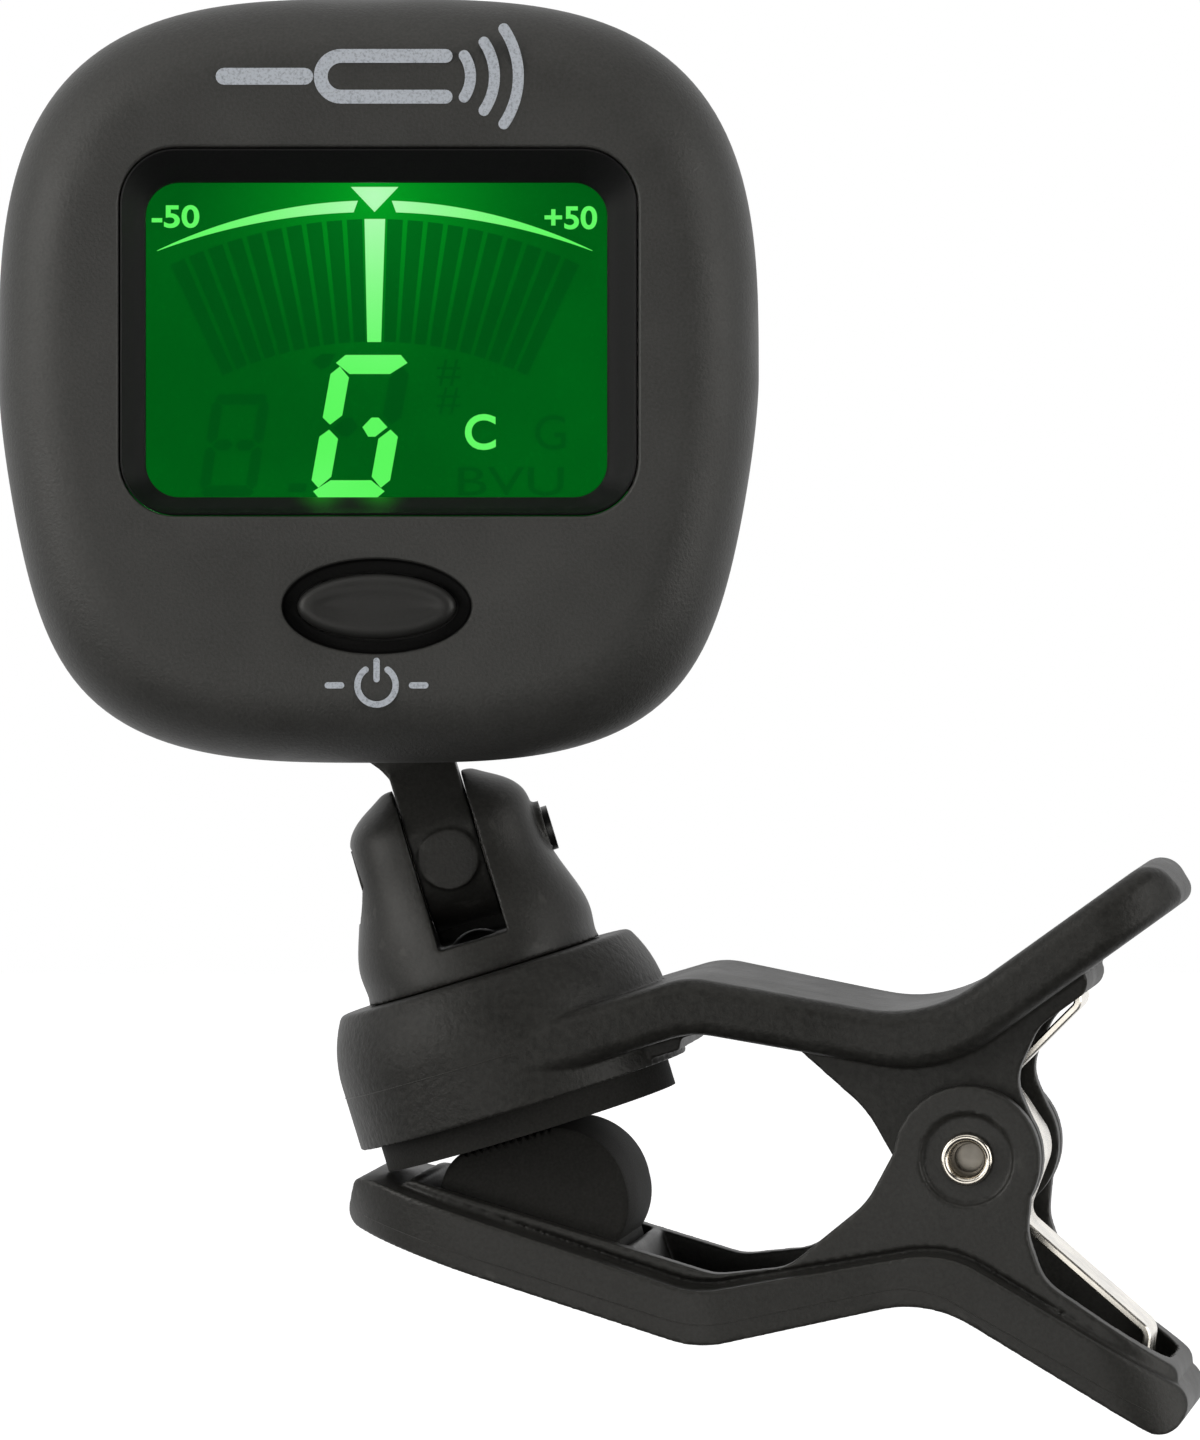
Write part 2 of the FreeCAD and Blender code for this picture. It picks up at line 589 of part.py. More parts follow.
LOWER_PROFILE = [
    (-9.8, 0.35, 0.5), (-11.55, -1.95, 0.9), (6.9, -14.5, 6.0), (20.3, -15.6, 7.0),
    (30.9, -27.25, 1.35), (33.25, -25.35, 1.45), (22.0, -13.2, 6.0), (7.7, -11.45, 6.0),
    (-8.6, -0.1, 0.6)]

LOWER_WALL = [
    (-7.3, -0.25, 0.8), (8.8, -10.85, 3.0), (12.9, -11.6, 2.5), (18.4, -9.35, 4.5),
    (20.72, -7.05, 0), (PIVOT_X + EAR_ROUND - 0.1, PIVOT_Z, 0),
    (26.7, -13.7, 3.0), (26.8, -16.5, 3.0), (32.7, -23.7, 1.0), (31.3, -25.6, 0),
    (20.3, -14.7, 0), (7.0, -13.3, 0), (-8.2, -3.1, 0)]

LOWER_HOLLOW = [
    (-6.3, -3.8, 0.5), (7.23, -13.1, 5.0), (20.5, -14.3, 6.0), (30.5, -25.1, 1.0),
    (32.6, -22.9, 0), (40.0, 0.0, 0), (10.0, 4.0, 0), (-6.3, 2.0, 0)]


def arm_plan(front_radius, handle_end, z0, z1):
    """Seen from above: a round front that runs into a narrower round-ended handle."""
    waist_x = 20.0
    distance = math.hypot(waist_x, ARM_HALF_WIDTH)
    lean = math.atan2(ARM_HALF_WIDTH, waist_x) + math.acos(front_radius / distance)
    touch_x = front_radius * math.cos(lean)
    touch_y = front_radius * math.sin(lean)
    blade = plan_plate(
        [(touch_x, -touch_y, 0), (waist_x, -ARM_HALF_WIDTH, 12.0),
         (handle_end, -ARM_HALF_WIDTH, 5.5), (handle_end, ARM_HALF_WIDTH, 5.5),
         (waist_x, ARM_HALF_WIDTH, 12.0), (touch_x, touch_y, 0)], z0, z1)
    return fuse_all(blade, rod_z(front_radius, z0, z1))


def round_ended(half_width, x0, x1, front_radius, back_radius):
    """Tall block whose upright corners are rounded, by one radius at each end."""
    return plan_plate([(x0, -half_width, front_radius), (x1, -half_width, back_radius),
                       (x1, half_width, back_radius), (x0, half_width, front_radius)], -40, 12)


def make_boss():
    """Round boss whose side curves in towards its top."""
    low, high = BOSS_Z
    shoulder = Vector(BOSS_RADIUS, 0, BOSS_SHOULDER_Z)
    top = Vector(BOSS_TOP_RADIUS, 0, high)
    bulge = Vector(BOSS_RADIUS - 0.28, 0, 0.5 * (BOSS_SHOULDER_Z + high) + 0.15)
    edges = [Part.makeLine(Vector(0, 0, low), Vector(BOSS_RADIUS, 0, low)),
             Part.makeLine(Vector(BOSS_RADIUS, 0, low), shoulder),
             Part.Arc(shoulder, bulge, top).toShape(),
             Part.makeLine(top, Vector(0, 0, high)),
             Part.makeLine(Vector(0, 0, high), Vector(0, 0, low))]
    solid = Part.Face(Part.Wire(edges)).revolve(Vector(), Z_AXIS, 360)
    rim = [edge for edge in solid.Edges
           if abs(edge.BoundBox.ZMax - high) < 1e-3 and abs(edge.BoundBox.ZMin - high) < 1e-3]
    return solid.makeFillet(0.5, rim)


def make_upper_jaw():
    boss = make_boss()
    arm = side_plate(ARM_PROFILE, -12, 12).common(arm_plan(BOSS_RADIUS, ARM_END_X, -10, 12))
    arm = arm.makeFillet(ARM_ROUNDING, rim_edges(arm, 6.0))
    walls = side_plate(UPPER_WALL, -UPPER_EAR[1], UPPER_EAR[1])
    ear = rod_y(EAR_ROUND, -UPPER_EAR[1], UPPER_EAR[1], PIVOT_X, PIVOT_Z)
    body = fuse_all(arm, walls, ear, boss)
    post = rod_z(2.7, 0, 20)
    core = rod_z(PAD_RIM_RADIUS + 0.1, 0, 7.6).cut(post)
    return cut_all(body,
                   side_plate(UPPER_HOLLOW, -UPPER_EAR[0], UPPER_EAR[0]),
                   rod_y(RIVET_RADIUS, -9, 9, PIVOT_X, PIVOT_Z),
                   core,
                   rod_z(0.95, 3.9, 20))


def make_upper_pad():
    """Round rubber pad with a locating rim on its back."""
    face = rod_z(PAD_RADIUS, 0, BOSS_Z[0])
    rim = rod_z(PAD_RIM_RADIUS, BOSS_Z[0] - 0.3, 2.8).cut(rod_z(PAD_RIM_RADIUS - 1.4, 1.0, 4.0))
    return fuse_all(face, rim)


def make_lower_jaw():
    """Arm whose lip curls up in front of the pads, with outer ears and a tray."""
    half_front = 8.2
    plan = plan_plate(
        [(-11.8, -half_front, 8.1), (8.0, -half_front, 12.0), (18.0, -ARM_HALF_WIDTH, 12.0),
         (33.8, -ARM_HALF_WIDTH, 5.5), (33.8, ARM_HALF_WIDTH, 5.5),
         (18.0, ARM_HALF_WIDTH, 12.0), (8.0, half_front, 12.0), (-11.8, half_front, 8.1)],
        -40, 12)
    arm = side_plate(LOWER_PROFILE, -12, 12).common(plan)
    walls = side_plate(LOWER_WALL, -LOWER_EAR[1], LOWER_EAR[1])
    walls = walls.common(round_ended(LOWER_EAR[1], -9.6, 33.2, 5.5, 4.0))
    ear = rod_y(EAR_ROUND, -LOWER_EAR[1], LOWER_EAR[1], PIVOT_X, PIVOT_Z)
    body = fuse_all(arm, walls, ear)
    hollow = side_plate(LOWER_HOLLOW, -LOWER_EAR[0], LOWER_EAR[0])
    hollow = hollow.common(round_ended(LOWER_EAR[0], -9.0, 32.0, 3.0, 3.0))
    rib = side_plate([(3.85, -11.4, 0), (4.75, -11.9, 0), (4.65, -8.05, 0.3), (3.95, -7.75, 0.3)],
                     -LOWER_EAR[0] - 0.2, LOWER_EAR[0] + 0.2)
    recess = LOWER_EAR[1] - EAR_RECESS_DEPTH
    body = cut_all(body, hollow,
                   rod_y(RIVET_RADIUS + RUNNING_GAP, -9, 9, PIVOT_X, PIVOT_Z),
                   rod_y(EAR_RECESS_RADIUS, recess, 9, PIVOT_X, PIVOT_Z),
                   rod_y(EAR_RECESS_RADIUS, -9, -recess, PIVOT_X, PIVOT_Z))
    return fuse_all(body, rib)


def make_lower_pad():
    """Rubber hump seated in the front of the lower tray, flat where it grips."""
    y = -LOWER_PAD_HALF_WIDTH
    brow = Vector(-5.5, y, -2.2)
    crown_start = Vector(-3.7, y, -0.15)
    crown_end = Vector(1.9, y, -0.15)
    cheek = Vector(5.1, y, -4.7)
    heel = Vector(3.75, y, -7.5)
    foot = Vector(3.55, y, -10.4)
    toe = Vector(-5.5, y, -4.25)
    edges = [Part.Arc(brow, Vector(-4.85, y, -0.9), crown_start).toShape(),
             Part.makeLine(crown_start, crown_end),
             Part.Arc(crown_end, Vector(4.35, y, -1.8), cheek).toShape(),
             Part.Arc(cheek, Vector(4.72, y, -6.25), heel).toShape(),
             Part.makeLine(heel, foot), Part.makeLine(foot, toe), Part.makeLine(toe, brow)]
    return Part.Face(Part.Wire(edges)).extrude(Vector(0, 2 * LOWER_PAD_HALF_WIDTH, 0))


def make_pivot_rivet():
    """Hollow rivet with a flared head at each end."""
    inner = LOWER_EAR[1] - EAR_RECESS_DEPTH + SEAM
    outer = inner + 0.4
    shank = rod_y(RIVET_RADIUS, -outer, outer, PIVOT_X, PIVOT_Z)
    heads = [rod_y(RIVET_HEAD_RADIUS, inner, outer, PIVOT_X, PIVOT_Z),
             rod_y(RIVET_HEAD_RADIUS, -outer, -inner, PIVOT_X, PIVOT_Z)]
    return fuse_all(shank, *heads).cut(rod_y(RIVET_BORE, -9, 9, PIVOT_X, PIVOT_Z))


def make_rivet_core():
    reach = 5.4
    return rod_y(RIVET_BORE, -reach, reach, PIVOT_X, PIVOT_Z)


def make_clip_spring():
    """Flat strip: two legs press the handles apart, the bow bears beside the rivet."""
    path = [(30.0, -23.9, 0), (31.15, -21.2, 0.8), (25.9, -12.9, 1.2), (28.6, -9.4, 2.2),
            (27.3, -5.1, 1.2), (32.9, -2.1, 0.6), (33.0, -0.05, 0)]
    spine = rounded_path([(Vector(x, 0, z), radius) for x, z, radius in path], closed=False)
    start = Vector(path[0][0], 0, path[0][1])
    along = (Vector(path[1][0], 0, path[1][1]) - start).normalize()
    across = along.cross(Y_AXIS) * (SPRING_THICKNESS / 2)
    side = Y_AXIS * SPRING_HALF_WIDTH
    corners = [start + across + side, start + across - side,
               start - across - side, start - across + side]
    profile = Part.makePolygon(corners + corners[:1])
    strip = spine.makePipeShell([profile], True, False)
    notch = box(29.0, 33.0, -0.9, 0.9, -26.0, -22.9)
    return strip.cut(notch)


def main():
    os.makedirs("parts", exist_ok=True)

    save("front_housing", HEAD_FRAME, make_front_housing())
    save("display_bezel", HEAD_FRAME, make_display_bezel())
    save("display_lens", HEAD_FRAME, panel(LCD_SIZE + (0.5,), WINDOW_CENTRE, *LENS_DEPTH))
    save("lcd_glass", HEAD_FRAME, panel(LCD_SIZE + (0.3,), WINDOW_CENTRE, *LCD_DEPTH))
    save("lcd_frame", HEAD_FRAME, make_lcd_frame())
    light_size = (LCD_SIZE[0], LCD_SIZE[1] - 2.2, 0.5)
    light_centre = (WINDOW_CENTRE[0], WINDOW_CENTRE[1] + 1.1)
    save("backlight_panel", HEAD_FRAME, panel(light_size, light_centre, *BACKLIGHT_DEPTH))
    strip_z = WINDOW_CENTRE[1] - LCD_SIZE[1] / 2
    save("zebra_connector", HEAD_FRAME,
         box(-12, 12, LCD_DEPTH[1], BOARD_DEPTH[0], strip_z + 0.2, strip_z + 1.8))
    save("circuit_board", HEAD_FRAME, make_circuit_board())
    save("controller_chip", HEAD_FRAME, box(-12, -6, BOARD_DEPTH[1], 7.05, -13, -7))
    save("tact_switch", HEAD_FRAME, make_tact_switch())
    save("power_button", HEAD_FRAME, make_power_button())
    save("rear_housing", HEAD_FRAME, make_rear_housing())
    save("housing_screws", HEAD_FRAME, *make_housing_screws())
    save("coin_cell", HEAD_FRAME, rod_y(CELL_RADIUS, *CELL_DEPTH, 0, CELL_CENTRE_Z))
    save("positive_contact", HEAD_FRAME, make_positive_contact())
    save("negative_contact", HEAD_FRAME, make_negative_contact())
    save("battery_door", HEAD_FRAME, make_battery_door())
    save("piezo_sensor", HEAD_FRAME, make_piezo_sensor())
    save("pivot_screw", HEAD_FRAME, make_pivot_screw())
    save("pivot_washer", HEAD_FRAME, make_pivot_washer())

    save("pivot_stem", STEM_FRAME, make_pivot_stem())
    save("swivel_yoke", YOKE_FRAME, make_swivel_yoke())
    save("hinge_screw", YOKE_FRAME, make_hinge_screw())
    save("hinge_nut", YOKE_FRAME, make_hinge_nut())
    save("hinge_washers", YOKE_FRAME, *make_hinge_washers())

    save("swivel_screw", JAW_FRAME, make_swivel_screw())
    save("swivel_washer", JAW_FRAME, make_swivel_washer())
    save("upper_jaw", JAW_FRAME, make_upper_jaw())
    save("upper_pad", JAW_FRAME, make_upper_pad())
    save("lower_jaw", JAW_FRAME, make_lower_jaw())
    save("lower_pad", JAW_FRAME, make_lower_pad())
    save("pivot_rivet", JAW_FRAME, make_pivot_rivet())
    save("rivet_core", JAW_FRAME, make_rivet_core())
    save("clip_spring", JAW_FRAME, make_clip_spring())


main()
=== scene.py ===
"""Looks of the clip-on tuner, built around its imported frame.  Lengths in the
tables are millimetres; new meshes are made in the head's or the jaws' own frame
and then moved to the row frame, in metres."""

import json
import math

import bmesh
import bpy
from mathutils import Matrix, Vector
from mathutils.bvhtree import BVHTree


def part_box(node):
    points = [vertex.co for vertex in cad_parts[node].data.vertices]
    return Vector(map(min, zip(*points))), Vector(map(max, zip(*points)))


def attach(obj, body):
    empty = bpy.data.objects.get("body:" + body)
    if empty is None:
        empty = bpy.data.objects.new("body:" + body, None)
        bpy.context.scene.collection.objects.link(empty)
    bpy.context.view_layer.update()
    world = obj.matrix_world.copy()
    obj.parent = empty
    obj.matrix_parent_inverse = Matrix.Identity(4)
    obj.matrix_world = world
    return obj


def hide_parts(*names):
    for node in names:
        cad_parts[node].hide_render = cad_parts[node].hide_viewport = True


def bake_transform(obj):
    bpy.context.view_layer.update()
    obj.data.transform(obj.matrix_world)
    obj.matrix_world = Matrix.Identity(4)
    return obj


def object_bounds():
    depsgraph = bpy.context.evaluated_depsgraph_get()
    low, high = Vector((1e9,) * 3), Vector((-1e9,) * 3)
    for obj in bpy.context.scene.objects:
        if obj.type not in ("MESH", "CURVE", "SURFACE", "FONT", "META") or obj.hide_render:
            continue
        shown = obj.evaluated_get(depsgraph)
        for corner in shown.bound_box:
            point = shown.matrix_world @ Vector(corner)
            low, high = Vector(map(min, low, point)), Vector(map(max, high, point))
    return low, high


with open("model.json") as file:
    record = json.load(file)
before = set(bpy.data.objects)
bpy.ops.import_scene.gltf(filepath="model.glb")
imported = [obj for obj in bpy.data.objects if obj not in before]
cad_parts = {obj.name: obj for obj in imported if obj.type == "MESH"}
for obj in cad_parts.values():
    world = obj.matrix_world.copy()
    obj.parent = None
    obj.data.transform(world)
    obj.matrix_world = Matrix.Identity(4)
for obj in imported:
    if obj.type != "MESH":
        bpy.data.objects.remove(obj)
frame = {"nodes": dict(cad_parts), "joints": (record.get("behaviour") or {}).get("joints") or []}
cad_low, cad_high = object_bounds()

MM = 0.001

# ------------------------------------------------------------------- frames
joints = {joint["name"]: joint for joint in frame["joints"]}


def placed_frame(x_axis, y_axis, z_axis, origin):
    """Matrix from millimetres in a tilted frame to metres in the row frame."""
    turn = Matrix((x_axis, y_axis, z_axis)).transposed().to_4x4()
    return Matrix.Translation(origin) @ turn @ Matrix.Scale(MM, 4)


swivel_axis = Vector(joints["base_swivel"]["axis"]).normalized()
jaw_axis = -Vector(joints["jaw_hinge"]["axis"]).normalized()
JAW = placed_frame(jaw_axis.cross(swivel_axis), jaw_axis, swivel_axis, Vector())
shell_low, shell_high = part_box("front_housing")
middle = (shell_low + shell_high) / 2
HEAD = placed_frame(Vector((1, 0, 0)), Vector((0, 1, 0)), Vector((0, 0, 1)),
                    Vector((middle.x, shell_low.y, middle.z)))


# ---------------------------------------------------------------- materials
class Shader:
    """A node material that is built up step by step around one Principled BSDF."""

    def __init__(self, name, **sockets):
        self.material = bpy.data.materials.new(name)
        self.material.use_nodes = True
        self.tree = self.material.node_tree
        self.bsdf = self.tree.nodes["Principled BSDF"]
        for socket, value in sockets.items():
            self.bsdf.inputs[socket.replace("_", " ")].default_value = value
        self.place = self.node("ShaderNodeTexCoord").outputs["Object"]

    def node(self, kind, inputs=None, **settings):
        made = self.tree.nodes.new(kind)
        for key, value in settings.items():
            setattr(made, key, value)
        for key, value in (inputs or {}).items():
            if isinstance(value, bpy.types.NodeSocket):
                self.tree.links.new(value, made.inputs[key])
            else:
                made.inputs[key].default_value = value
        return made

    def set(self, socket, value):
        self.tree.links.new(value, self.bsdf.inputs[socket])

    def noise(self, size_mm, detail=3.0, rough=0.55, stretch=None):
        """Noise whose blotches are about size_mm wide."""
        place = self.place
        if stretch is not None:
            place = self.node("ShaderNodeMapping", {"Vector": place, "Scale": stretch}).outputs[0]
        return self.node("ShaderNodeTexNoise", {
            "Vector": place, "Scale": 1 / (size_mm * MM), "Detail": detail,
            "Roughness": rough}).outputs["Fac"]

    def ramp(self, value, *stops):
        made = self.node("ShaderNodeValToRGB", {"Fac": value})
        elements = made.color_ramp.elements
        while len(elements) < len(stops):
            elements.new(0.5)
        for element, (position, colour) in zip(elements, stops):
            element.position = position
            element.color = tuple(colour) + (1.0,) if len(colour) == 3 else colour
        return made.outputs["Color"]

    def span(self, value, low, high, to_low, to_high):
        return self.node("ShaderNodeMapRange", {
            "Value": value, "From Min": low, "From Max": high,
            "To Min": to_low, "To Max": to_high}).outputs["Result"]

    def maths(self, operation, a, b=0.0):
        return self.node("ShaderNodeMath", {0: a, 1: b}, operation=operation).outputs[0]

    def mix(self, share, a, b, blend_type="MIX"):
        made = self.node("ShaderNodeMix", data_type="RGBA", blend_type=blend_type)
        for index, value in ((0, share), (6, a), (7, b)):
            if isinstance(value, bpy.types.NodeSocket):
                self.tree.links.new(value, made.inputs[index])
            elif index == 0:
                made.inputs[0].default_value = value
            else:
                made.inputs[index].default_value = tuple(value) + (1.0,)
        return made.outputs[2]

    def bump(self, height, depth_mm, strength=1.0, onto=None):
        inputs = {"Height": height, "Distance": depth_mm * MM, "Strength": strength}
        if onto is not None:
            inputs["Normal"] = onto
        return self.node("ShaderNodeBump", inputs).outputs["Normal"]


def moulded(name, dark, light, roughness, grain_mm, grain_depth, edge=0.0, **sockets):
    """Moulded plastic or rubber: mottled colour, uneven sheen and a fine grain; edge sets how far
    sharp edges are lightened, a painted highlight.
    """
    s = Shader(name, **sockets)
    wide = s.noise(4.0, 3.0)
    fine = s.noise(grain_mm, 2.5, 0.6)
    both = s.maths("ADD", s.maths("MULTIPLY", wide, 0.35), s.maths("MULTIPLY", fine, 0.65))
    colour = s.ramp(both, (0.36, dark), (0.64, light))
    if edge:
        # painted highlight: sharp edges, found by pointiness, are lightened towards a paler colour
        point = s.node("ShaderNodeNewGeometry").outputs["Pointiness"]
        edge_highlight = s.span(point, 0.51, 0.6, 0.0, edge)
        colour = s.mix(edge_highlight, colour, [min(1.0, c * 3 + 0.01) for c in light])
    s.set("Base Color", colour)
    s.set("Roughness", s.span(wide, 0.3, 0.7, roughness - 0.05, roughness + 0.06))
    s.set("Normal", s.bump(fine, grain_depth))
    return s.material


def metal(name, colour, roughness, stretch, scratch=0.03):
    """Worn plated metal with fine drawn lines along one direction."""
    s = Shader(name, Metallic=1.0)
    lines = s.noise(0.5, 4.0, 0.6, stretch)
    stains = s.noise(1.6, 3.0)
    darker = [c * 0.72 for c in colour]
    s.set("Base Color", s.ramp(stains, (0.3, darker), (0.62, colour)))
    s.set("Roughness", s.span(s.maths("MULTIPLY", lines, stains), 0.1, 0.4,
                              roughness - 0.08, roughness + 0.12))
    s.set("Normal", s.bump(lines, scratch * 0.3, 0.6))
    return s.material


SHELL = moulded("shell_plastic", (0.032, 0.032, 0.0305), (0.050, 0.050, 0.048), 0.52, 0.18, 0.034)
CLIP = moulded("clip_plastic", (0.018, 0.0177, 0.0163), (0.030, 0.0295, 0.0275),
               0.46, 0.22, 0.018, edge=0.2, Specular_IOR_Level=0.38)
GRAINED = moulded("grained_plastic", (0.015, 0.0147, 0.0135), (0.029, 0.0285, 0.0265),
                  0.48, 0.36, 0.048, edge=0.06, Specular_IOR_Level=0.30)
RUBBER = moulded("pad_rubber", (0.016, 0.0157, 0.0145), (0.026, 0.0255, 0.024), 0.8, 0.16, 0.03,
                 Specular_IOR_Level=0.2)
BUTTON = moulded("button_rubber", (0.013, 0.013, 0.0124), (0.018, 0.018, 0.0172),
                 0.50, 0.10, 0.009)
# painted shade: a near-black copy of the shell plastic, used for the faces inside the key's moat
MOAT_SHADE = moulded("moat_painted_shade", (0.004, 0.004, 0.004), (0.007, 0.007, 0.007), 0.6, 0.16,
                     0.01, Specular_IOR_Level=0.15)
WHITE = moulded("white_plastic", (0.60, 0.60, 0.57), (0.72, 0.72, 0.69), 0.45, 0.3, 0.004)
EPOXY = moulded("epoxy_black", (0.010, 0.010, 0.010), (0.018, 0.018, 0.018), 0.5, 0.15, 0.006)
BOARD = moulded("solder_mask", (0.008, 0.09, 0.03), (0.012, 0.13, 0.045), 0.32, 0.4, 0.006)
ELASTOMER = moulded("elastomer", (0.30, 0.19, 0.16), (0.42, 0.28, 0.24), 0.7, 0.2, 0.01)
NYLON = moulded("washer_nylon", (0.55, 0.54, 0.50), (0.68, 0.67, 0.62), 0.4, 0.3, 0.004)
ZINC = metal("zinc_steel", (0.50, 0.50, 0.49), 0.34, (1.0, 1.0, 0.12))
DARK_ZINC = metal("blackened_steel", (0.10, 0.10, 0.10), 0.38, (1.0, 1.0, 0.12))
NICKEL = metal("nickel_plate", (0.86, 0.81, 0.73), 0.2, (1.0, 0.15, 1.0))
TARNISHED = metal("tarnished_plug", (0.30, 0.28, 0.25), 0.40, (1.0, 0.15, 1.0))
SPRING = metal("spring_strip", (0.92, 0.88, 0.81), 0.24, (0.12, 1.0, 0.12))
BRASS = metal("brass_plate", (0.66, 0.50, 0.22), 0.3, (1.0, 0.3, 1.0))


def print_material():
    """Pale pad-printed ink, slightly broken up by the grain beneath it."""
    s = Shader("print_ink", Roughness=0.6)
    fine = s.noise(0.16, 3.0, 0.7)
    s.set("Base Color", s.ramp(fine, (0.30, (0.30, 0.33, 0.38)), (0.52, (0.56, 0.60, 0.67))))
    s.set("Normal", s.bump(fine, 0.02))
    return s.material


def lens_material():
    """Clear moulded window with a faintly uneven polish."""
    s = Shader("clear_lens", Base_Color=(0.96, 0.98, 0.96, 1.0), IOR=1.2,
               Transmission_Weight=1.0, Specular_IOR_Level=0.25)
    s.set("Roughness", s.span(s.noise(0.6), 0.3, 0.7, 0.0, 0.03))
    return s.material


POINTER_SPOT = HEAD @ Vector((-0.17, 2.4, 10.4))


def glow_from(s, spot, reach_mm):
    """1 at a spot in the row frame, falling to 0 at reach_mm from it."""
    distance = s.node("ShaderNodeVectorMath", {0: s.place, 1: tuple(spot)},
                      operation="DISTANCE").outputs["Value"]
    near = s.span(distance, 0.0, reach_mm * MM, 1.0, 0.0)
    return s.maths("MULTIPLY", near, near)


def display_material(name, dark, light, hot, speckle):
    """Back-lit display layer: brightest under the pointer, with a fine sparkle."""
    s = Shader(name, Base_Color=(0.0, 0.01, 0.001, 1.0), Roughness=0.5,
               Specular_IOR_Level=0.0, Emission_Strength=1.0)
    wide = s.noise(9.0, 2.0)
    fine = s.noise(0.12, 2.0, 0.7)
    colour = s.ramp(wide, (0.35, dark), (0.7, light))
    colour = s.mix(glow_from(s, POINTER_SPOT, 12.0), colour, hot)
    sparkle = s.ramp(fine, (0.58, (0.0, 0.0, 0.0)), (0.8, speckle))
    s.set("Emission Color", s.mix(1.0, colour, sparkle, "ADD"))
    return s.material


LCD = display_material("lcd_field", (0.0, 0.096, 0.0068), (0.0, 0.118, 0.0082),
                       (0.001, 0.36, 0.017), (0.0, 0.05, 0.004))
LCD_DIM = display_material("lcd_dim", (0.0, 0.076, 0.0066), (0.0, 0.088, 0.0074),
                           (0.0, 0.17, 0.012), (0.0, 0.03, 0.002))
LCD_LIT = display_material("lcd_lit", (0.115, 0.96, 0.12), (0.15, 1.0, 0.16),
                           (0.50, 1.0, 0.52), (0.0, 0.0, 0.0))


# --------------------------------------------------------------- mesh helpers
def new_piece(name, mesh, material, body, replaces=()):
    """Link a finished mesh as a named piece that rides on a body."""
    made = bpy.data.objects.new(name, mesh)
    bpy.context.scene.collection.objects.link(made)
    mesh.materials.clear()
    mesh.materials.append(material)
    if body is not None:
        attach(made, body)
    if replaces:
        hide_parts(*replaces)
    return made


def mesh_from(name, vertices, faces, matrix, smooth=True):
    """Mesh in the row frame, with its doubles merged and its faces turned outward."""
    mesh = bpy.data.meshes.new(name)
    mesh.from_pydata([matrix @ Vector(v) for v in vertices], [], faces)
    made = bmesh.new()
    made.from_mesh(mesh)
    bmesh.ops.remove_doubles(made, verts=made.verts, dist=1e-8)
    bmesh.ops.recalc_face_normals(made, faces=made.faces)
    for face in made.faces:
        face.smooth = smooth
    made.to_mesh(mesh)
    made.free()
    return mesh


def loft(rings, cap_start=True, cap_end=True):
    """Vertices and faces of a skin over rings with the same number of points."""
    count = len(rings[0])
    vertices = [point for ring in rings for point in ring]
    faces = []
    for level in range(len(rings) - 1):
        base = level * count
        for index in range(count):
            following = (index + 1) % count
            faces.append((base + index, base + following,
                          base + count + following, base + count + index))
    if cap_start:
        faces.append(tuple(range(count))[::-1])
    if cap_end:
        faces.append(tuple(range(len(vertices) - count, len(vertices))))
    return vertices, faces


def closed_loft(rings):
    """A ring-shaped solid: the last ring joins the first."""
    vertices, faces = loft(rings, False, False)
    count = len(rings[0])
    last = len(vertices) - count
    for index in range(count):
        following = (index + 1) % count
        faces.append((last + index, last + following, following, index))
    return vertices, faces


def merge(*parts):
    """One list of vertices and faces out of several."""
    vertices = []
    faces = []
    for part_vertices, part_faces in parts:
        offset = len(vertices)
        vertices += part_vertices
        faces += [tuple(index + offset for index in face) for face in part_faces]
    return vertices, faces


def prism(outline, y0, y1):
    """Thin plate facing the reader, from an (x, z) outline."""
    rings = [[(x, y, z) for x, z in outline] for y in (y0, y1)]
    return loft(rings)


def rounded_rectangle(size, centre, grow=0.0, steps=10):
    """(x, z) points of a rounded rectangle grown on every side."""
    width, height, radius = size
    half_x = width / 2 + grow
    half_z = height / 2 + grow
    radius = max(0.01, radius + grow)
    points = []
    for quarter, (sx, sz) in enumerate([(1, 1), (-1, 1), (-1, -1), (1, -1)]):
        for step in range(steps + 1):
            angle = math.pi / 2 * (quarter + step / steps)
            points.append((centre[0] + sx * (half_x - radius) + radius * math.cos(angle),
                           centre[1] + sz * (half_z - radius) + radius * math.sin(angle)))
    return points


def oval(half_x, half_z, centre, count=96):
    """(x, z) points of an ellipse."""
    return [(centre[0] + half_x * math.cos(2 * math.pi * index / count),
             centre[1] + half_z * math.sin(2 * math.pi * index / count))
            for index in range(count)]


def apply_modifiers(made):
    """Bake an object's modifiers into its mesh."""
    bpy.context.view_layer.update()
    graph = bpy.context.evaluated_depsgraph_get()
    mesh = bpy.data.meshes.new_from_object(made.evaluated_get(graph))
    made.modifiers.clear()
    made.data = mesh
    return mesh


def carve(mesh, cutters, matrix):
    """Cut closed shapes out of a mesh."""
    made = bpy.data.objects.new("carving", mesh)
    bpy.context.scene.collection.objects.link(made)
    tools = []
    for index, (vertices, faces) in enumerate(cutters):
        cutter = bpy.data.objects.new("cutter", mesh_from("cutter", vertices, faces, matrix))
        bpy.context.scene.collection.objects.link(cutter)
        modifier = made.modifiers.new("cut", "BOOLEAN")
        modifier.operation = "DIFFERENCE"
        modifier.solver = "EXACT"
        modifier.object = cutter
        tools.append(cutter)
    result = apply_modifiers(made)
    for unwanted in tools + [made]:
        bpy.data.objects.remove(unwanted)
    return result


def smooth_by_angle(mesh, degrees):
    """Smooth shading that breaks at edges sharper than the angle."""
    made = bmesh.new()
    made.from_mesh(mesh)
    limit = math.radians(degrees)
    for face in made.faces:
        face.smooth = True
    for edge in made.edges:
        edge.smooth = len(edge.link_faces) == 2 and edge.calc_face_angle(0.0) < limit
    made.to_mesh(mesh)
    made.free()


